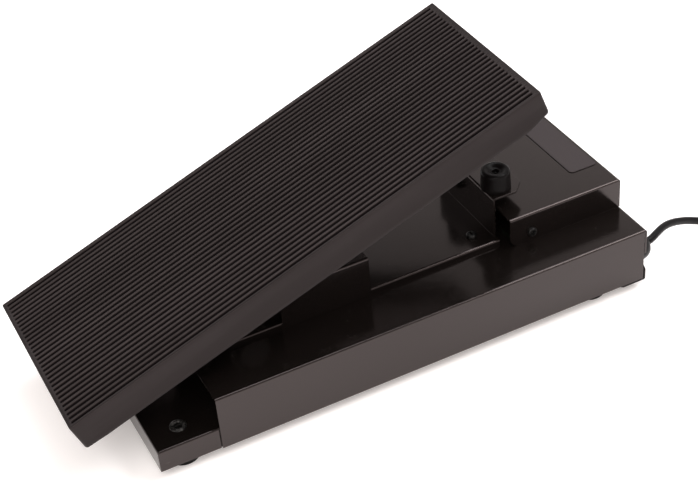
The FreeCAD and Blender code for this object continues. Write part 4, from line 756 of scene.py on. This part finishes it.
def make_plug(boot_material, shell_material, metal):
    """Phone plug: ringed boot, ridged barrel and a tip with its waist."""
    end = from_base(TAIL_ROUTE[-1])
    turn = Matrix.Rotation(math.radians(-90), 4, "Y")
    place = Matrix.Translation(end) @ turn
    boot = [(2.12, -6.0), (2.7, -6.0), (2.9, -5.7)]
    for i in range(6):
        start = -5.0 + 3.0 * i
        wide = 2.95 + 0.27 * i
        boot += [(wide, start), (wide + 0.1, start + 1.7)]
        boot += [(wide - 0.35, start + 2.0), (wide - 0.3, start + 2.7)]
    boot += [(4.5, 13.2), (4.55, 14.0), (0.0, 14.0), (0.0, 0.0), (2.12, 0.0)]
    barrel = [(0.0, 14.0), (4.6, 14.0), (5.5, 14.4), (6.1, 15.6), (6.2, 17.0)]
    for i in range(9):
        start = 18.0 + 2.6 * i
        barrel += [(6.2, start), (6.0, start + 0.25), (6.0, start + 0.95), (6.2, start + 1.2)]
    barrel += [(6.2, 43.6), (6.0, 44.6), (5.3, 45.6), (4.6, 46.0), (0.0, 46.0)]
    tip = [(0.0, 68.6), (2.9, 68.6), (3.1, 68.8), (2.75, 69.8), (2.35, 70.4), (2.3, 70.8), (2.6, 71.4)]
    tip += [(3.05, 72.2), (3.08, 72.7), (2.7, 73.9), (1.9, 75.4), (1.1, 76.2), (0.45, 76.4), (0.0, 76.4)]
    parts = [
        ("plug_boot_moulded", "plug_boot", boot_material, boot, "plug_boot"),
        ("plug_barrel_moulded", "plug_shell", shell_material, barrel, "plug_barrel"),
        ("plug_tip_turned", "plug_contact", metal, tip, "plug_tip"),
    ]
    return [turned_pieces(name, "base", material, profile, [place], node)
            for name, slot, material, profile, node in parts]


TIE_ANGLE = -72
TIE_HALF_WIDTH = 6.0
TIE_THICK = 0.9
TIE_INSIDE = 2.12
TIE_ROWS = 8
TIE_EDGE_SINK = 0.1
TIE_LOWEST = 0.05


def strap_outline(spread):
    """Round the coil's corner turns at that distance, as (from the coil's axis, height)."""
    corners = [(COIL_OUTER_TURN - TURN_IN * inward, COIL_LOW_TURN + TURN_UP * layer)
               for inward, layer in ((2, 0), (0, 0), (0, 3), (1, 3), (2, 1))]
    sweeps = ((180, 270), (270, 360), (0, 90), (90, 134), (134, 180))
    outline = []
    for corner, (start, end) in zip(corners, sweeps):
        outline += arc(corner, spread, start, end, 6)
    return outline


def make_tie(material):
    """Looped strap pulled tight round the coil."""
    inner, outer = strap_outline(TIE_INSIDE), strap_outline(TIE_INSIDE + TIE_THICK)
    turn = Matrix.Rotation(math.radians(TIE_ANGLE), 4, "Z")
    place = Matrix.Translation(from_base((*COIL_CENTRE, 0.0))) @ turn @ Matrix.Scale(MM, 4)
    bm = bmesh.new()
    rings = []
    for k in range(TIE_ROWS + 1):
        off = -TIE_HALF_WIDTH + 2 * TIE_HALF_WIDTH * k / TIE_ROWS
        sink = TIE_EDGE_SINK if k in (0, TIE_ROWS) else 0.0
        ring = []
        for outline, inset in ((inner, 0.0), (outer, sink)):
            ring.append([])
            for radius, height in outline:
                reach = math.sqrt(max(radius * radius - off * off, 0.0)) if radius > 0 else 0.0
                ring[-1].append(bm.verts.new(place @ Vector((reach, off, max(height - inset, TIE_LOWEST)))))
        rings.append(ring)
    count = len(inner)
    for k in range(TIE_ROWS):
        for i in range(count):
            j = (i + 1) % count
            for side in (0, 1):
                a, b = rings[k][side], rings[k + 1][side]
                corners = [a[i], a[j], b[j], b[i]]
                bm.faces.new(corners if side else corners[::-1])
    for k in (0, TIE_ROWS):
        for i in range(count):
            j = (i + 1) % count
            bm.faces.new([rings[k][0][i], rings[k][0][j], rings[k][1][j], rings[k][1][i]])
    bmesh.ops.recalc_face_normals(bm, faces=bm.faces)
    mesh = bpy.data.meshes.new("coil_tie_strap")
    bm.to_mesh(mesh)
    bm.free()
    piece = add_mesh("coil_tie_strap", "base", mesh, material)
    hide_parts("coil_tie")
    return piece


# ------------------------------------------------------------------ put together


def paint(nodes, material):
    """Gives CAD nodes a material in every slot."""
    for name in nodes:
        slots = frame["nodes"][name].material_slots
        for slot in slots:
            slot.material = material


def nodes_in(slot):
    """The CAD nodes that the record gives a material slot."""
    return [part["node"] for part in frame["record"]["subparts"] if part["material_slot"] == slot]


FLOOR_HALF = 4.0
# heights on the sky's unit sphere between which the sweep gives way to the ceiling, and their strengths
SWEEP_TOP, CEILING_LOW = 0.592, 0.612
SWEEP_STRENGTH, CEILING_STRENGTH = 0.88, 0.30
SKY_TINT = (1.0, 0.94, 0.92, 1)


def make_stage():
    """Pale floor that runs well past the view."""
    shader = Shader("floor")
    shade = shader.noise(1.2, 2)
    base = shader.blend(shade, colour(0.88, 0.87, 0.88), colour(0.91, 0.90, 0.91))
    shader.set(Base_Color=base, Roughness=0.7)
    # painted light: the floor glows faintly warm, which lifts the shadows on it and brightens its reflection
    # in the panels
    shader.set(Emission_Color=colour(1.0, 0.92, 0.87), Emission_Strength=0.2)
    mesh = bpy.data.meshes.new("floor")
    corners = [(-FLOOR_HALF, -FLOOR_HALF, 0), (FLOOR_HALF, -FLOOR_HALF, 0),
               (FLOOR_HALF, FLOOR_HALF, 0), (-FLOOR_HALF, FLOOR_HALF, 0)]
    mesh.from_pydata(corners, [], [(0, 1, 2, 3)])
    mesh.materials.append(shader.material)
    floor = bpy.data.objects.new("floor", mesh)
    bpy.context.collection.objects.link(floor)


def add_light(name, place, aim, size, power, tint):
    """A soft box at place, facing aim."""
    data = bpy.data.lights.new(name, "AREA")
    data.shape = "RECTANGLE"
    data.size, data.size_y = size
    data.energy = power
    data.color = tint
    light = bpy.data.objects.new(name, data)
    light.location = place
    light.rotation_euler = (Vector(aim) - Vector(place)).to_track_quat("-Z", "Y").to_euler()
    bpy.context.collection.objects.link(light)


def make_lights():
    """A bright low sweep under a darker ceiling, and soft boxes above both sides and the toe."""
    world = bpy.data.worlds.new("room")
    bpy.context.scene.world = world
    world.use_nodes = True
    tree = world.node_tree
    spot = tree.nodes.new("ShaderNodeTexCoord")
    split = tree.nodes.new("ShaderNodeSeparateXYZ")
    shade = tree.nodes.new("ShaderNodeMapRange")
    tree.links.new(spot.outputs["Generated"], split.inputs[0])
    tree.links.new(split.outputs["Z"], shade.inputs["Value"])
    limits = (SWEEP_TOP, CEILING_LOW, SWEEP_STRENGTH, CEILING_STRENGTH)
    for key, value in zip(("From Min", "From Max", "To Min", "To Max"), limits):
        shade.inputs[key].default_value = value
    tree.links.new(shade.outputs[0], tree.nodes["Background"].inputs[1])
    tree.nodes["Background"].inputs[0].default_value = SKY_TINT
    add_light("key", (-0.3, 0.45, 1.5), (0, 0, 0), (0.9, 0.9), 17, (0.97, 0.98, 1.0))
    add_light("fill", (0.9, -0.7, 1.3), (0, 0, 0), (1.5, 1.5), 27, (1.0, 0.955, 0.91))
    add_light("rim", (0.4, 0.85, 1.2), (0, 0, 0), (0.9, 0.35), 9, (1.0, 0.99, 0.98))


rubber = plain_rubber()
paint(nodes_in("black_enamel"), enamel("black_enamel", 0.5))
paint(["bottom_plate"], enamel("plate_enamel", 0.1))
paint(nodes_in("foot_rubber"), rubber)
paint(nodes_in("zinc_steel"), zinc_plate())
paint(nodes_in("black_screw"), black_oxide("black_screw", 0.035))
paint(nodes_in("black_eyelet"), black_oxide("black_eyelet", 0.10))
paint(nodes_in("ground_steel"), ground_steel())
paint(nodes_in("bronze"), bronze())
paint(nodes_in("nylon"), nylon())
paint(nodes_in("pot_metal"), pressed_can())
paint(nodes_in("tinned"), tinned_leg())
paint(nodes_in("label_plate"), label_film())
paint(nodes_in("board"), circuit_board())
paint(nodes_in("chip"), moulding("chip", (0.02, 0.02, 0.02), 0.45))
paint(nodes_in("terminal"), moulding("terminal", (0.03, 0.22, 0.09), 0.4))
paint(nodes_in("wire"), hook_up_wire())
gland_plastic = moulding("gland", (0.0045, 0.004, 0.0042), 0.36, 0.16)
paint(nodes_in("gland"), gland_plastic)
metal = nickel()
paint(nodes_in("plug_contact"), metal)
paint(nodes_in("plug_insulator"), moulding("plug_insulator", (0.015, 0.015, 0.015), 0.25))

make_tread()
make_bumpers(rubber)
make_feet(rubber)
gland = make_gland(gland_plastic)
boot_plastic = moulding("plug_boot", (0.014, 0.014, 0.014), 0.5)
shell_plastic = moulding("plug_shell", (0.02, 0.02, 0.02), 0.28)
plug = make_plug(boot_plastic, shell_plastic, metal)
tie = make_tie(strap_fabric())
cord.data.materials.append(cord_jacket())
make_stage()
make_lights()
bpy.context.scene.view_settings.view_transform = "Standard"

bpy.context.view_layer.update()
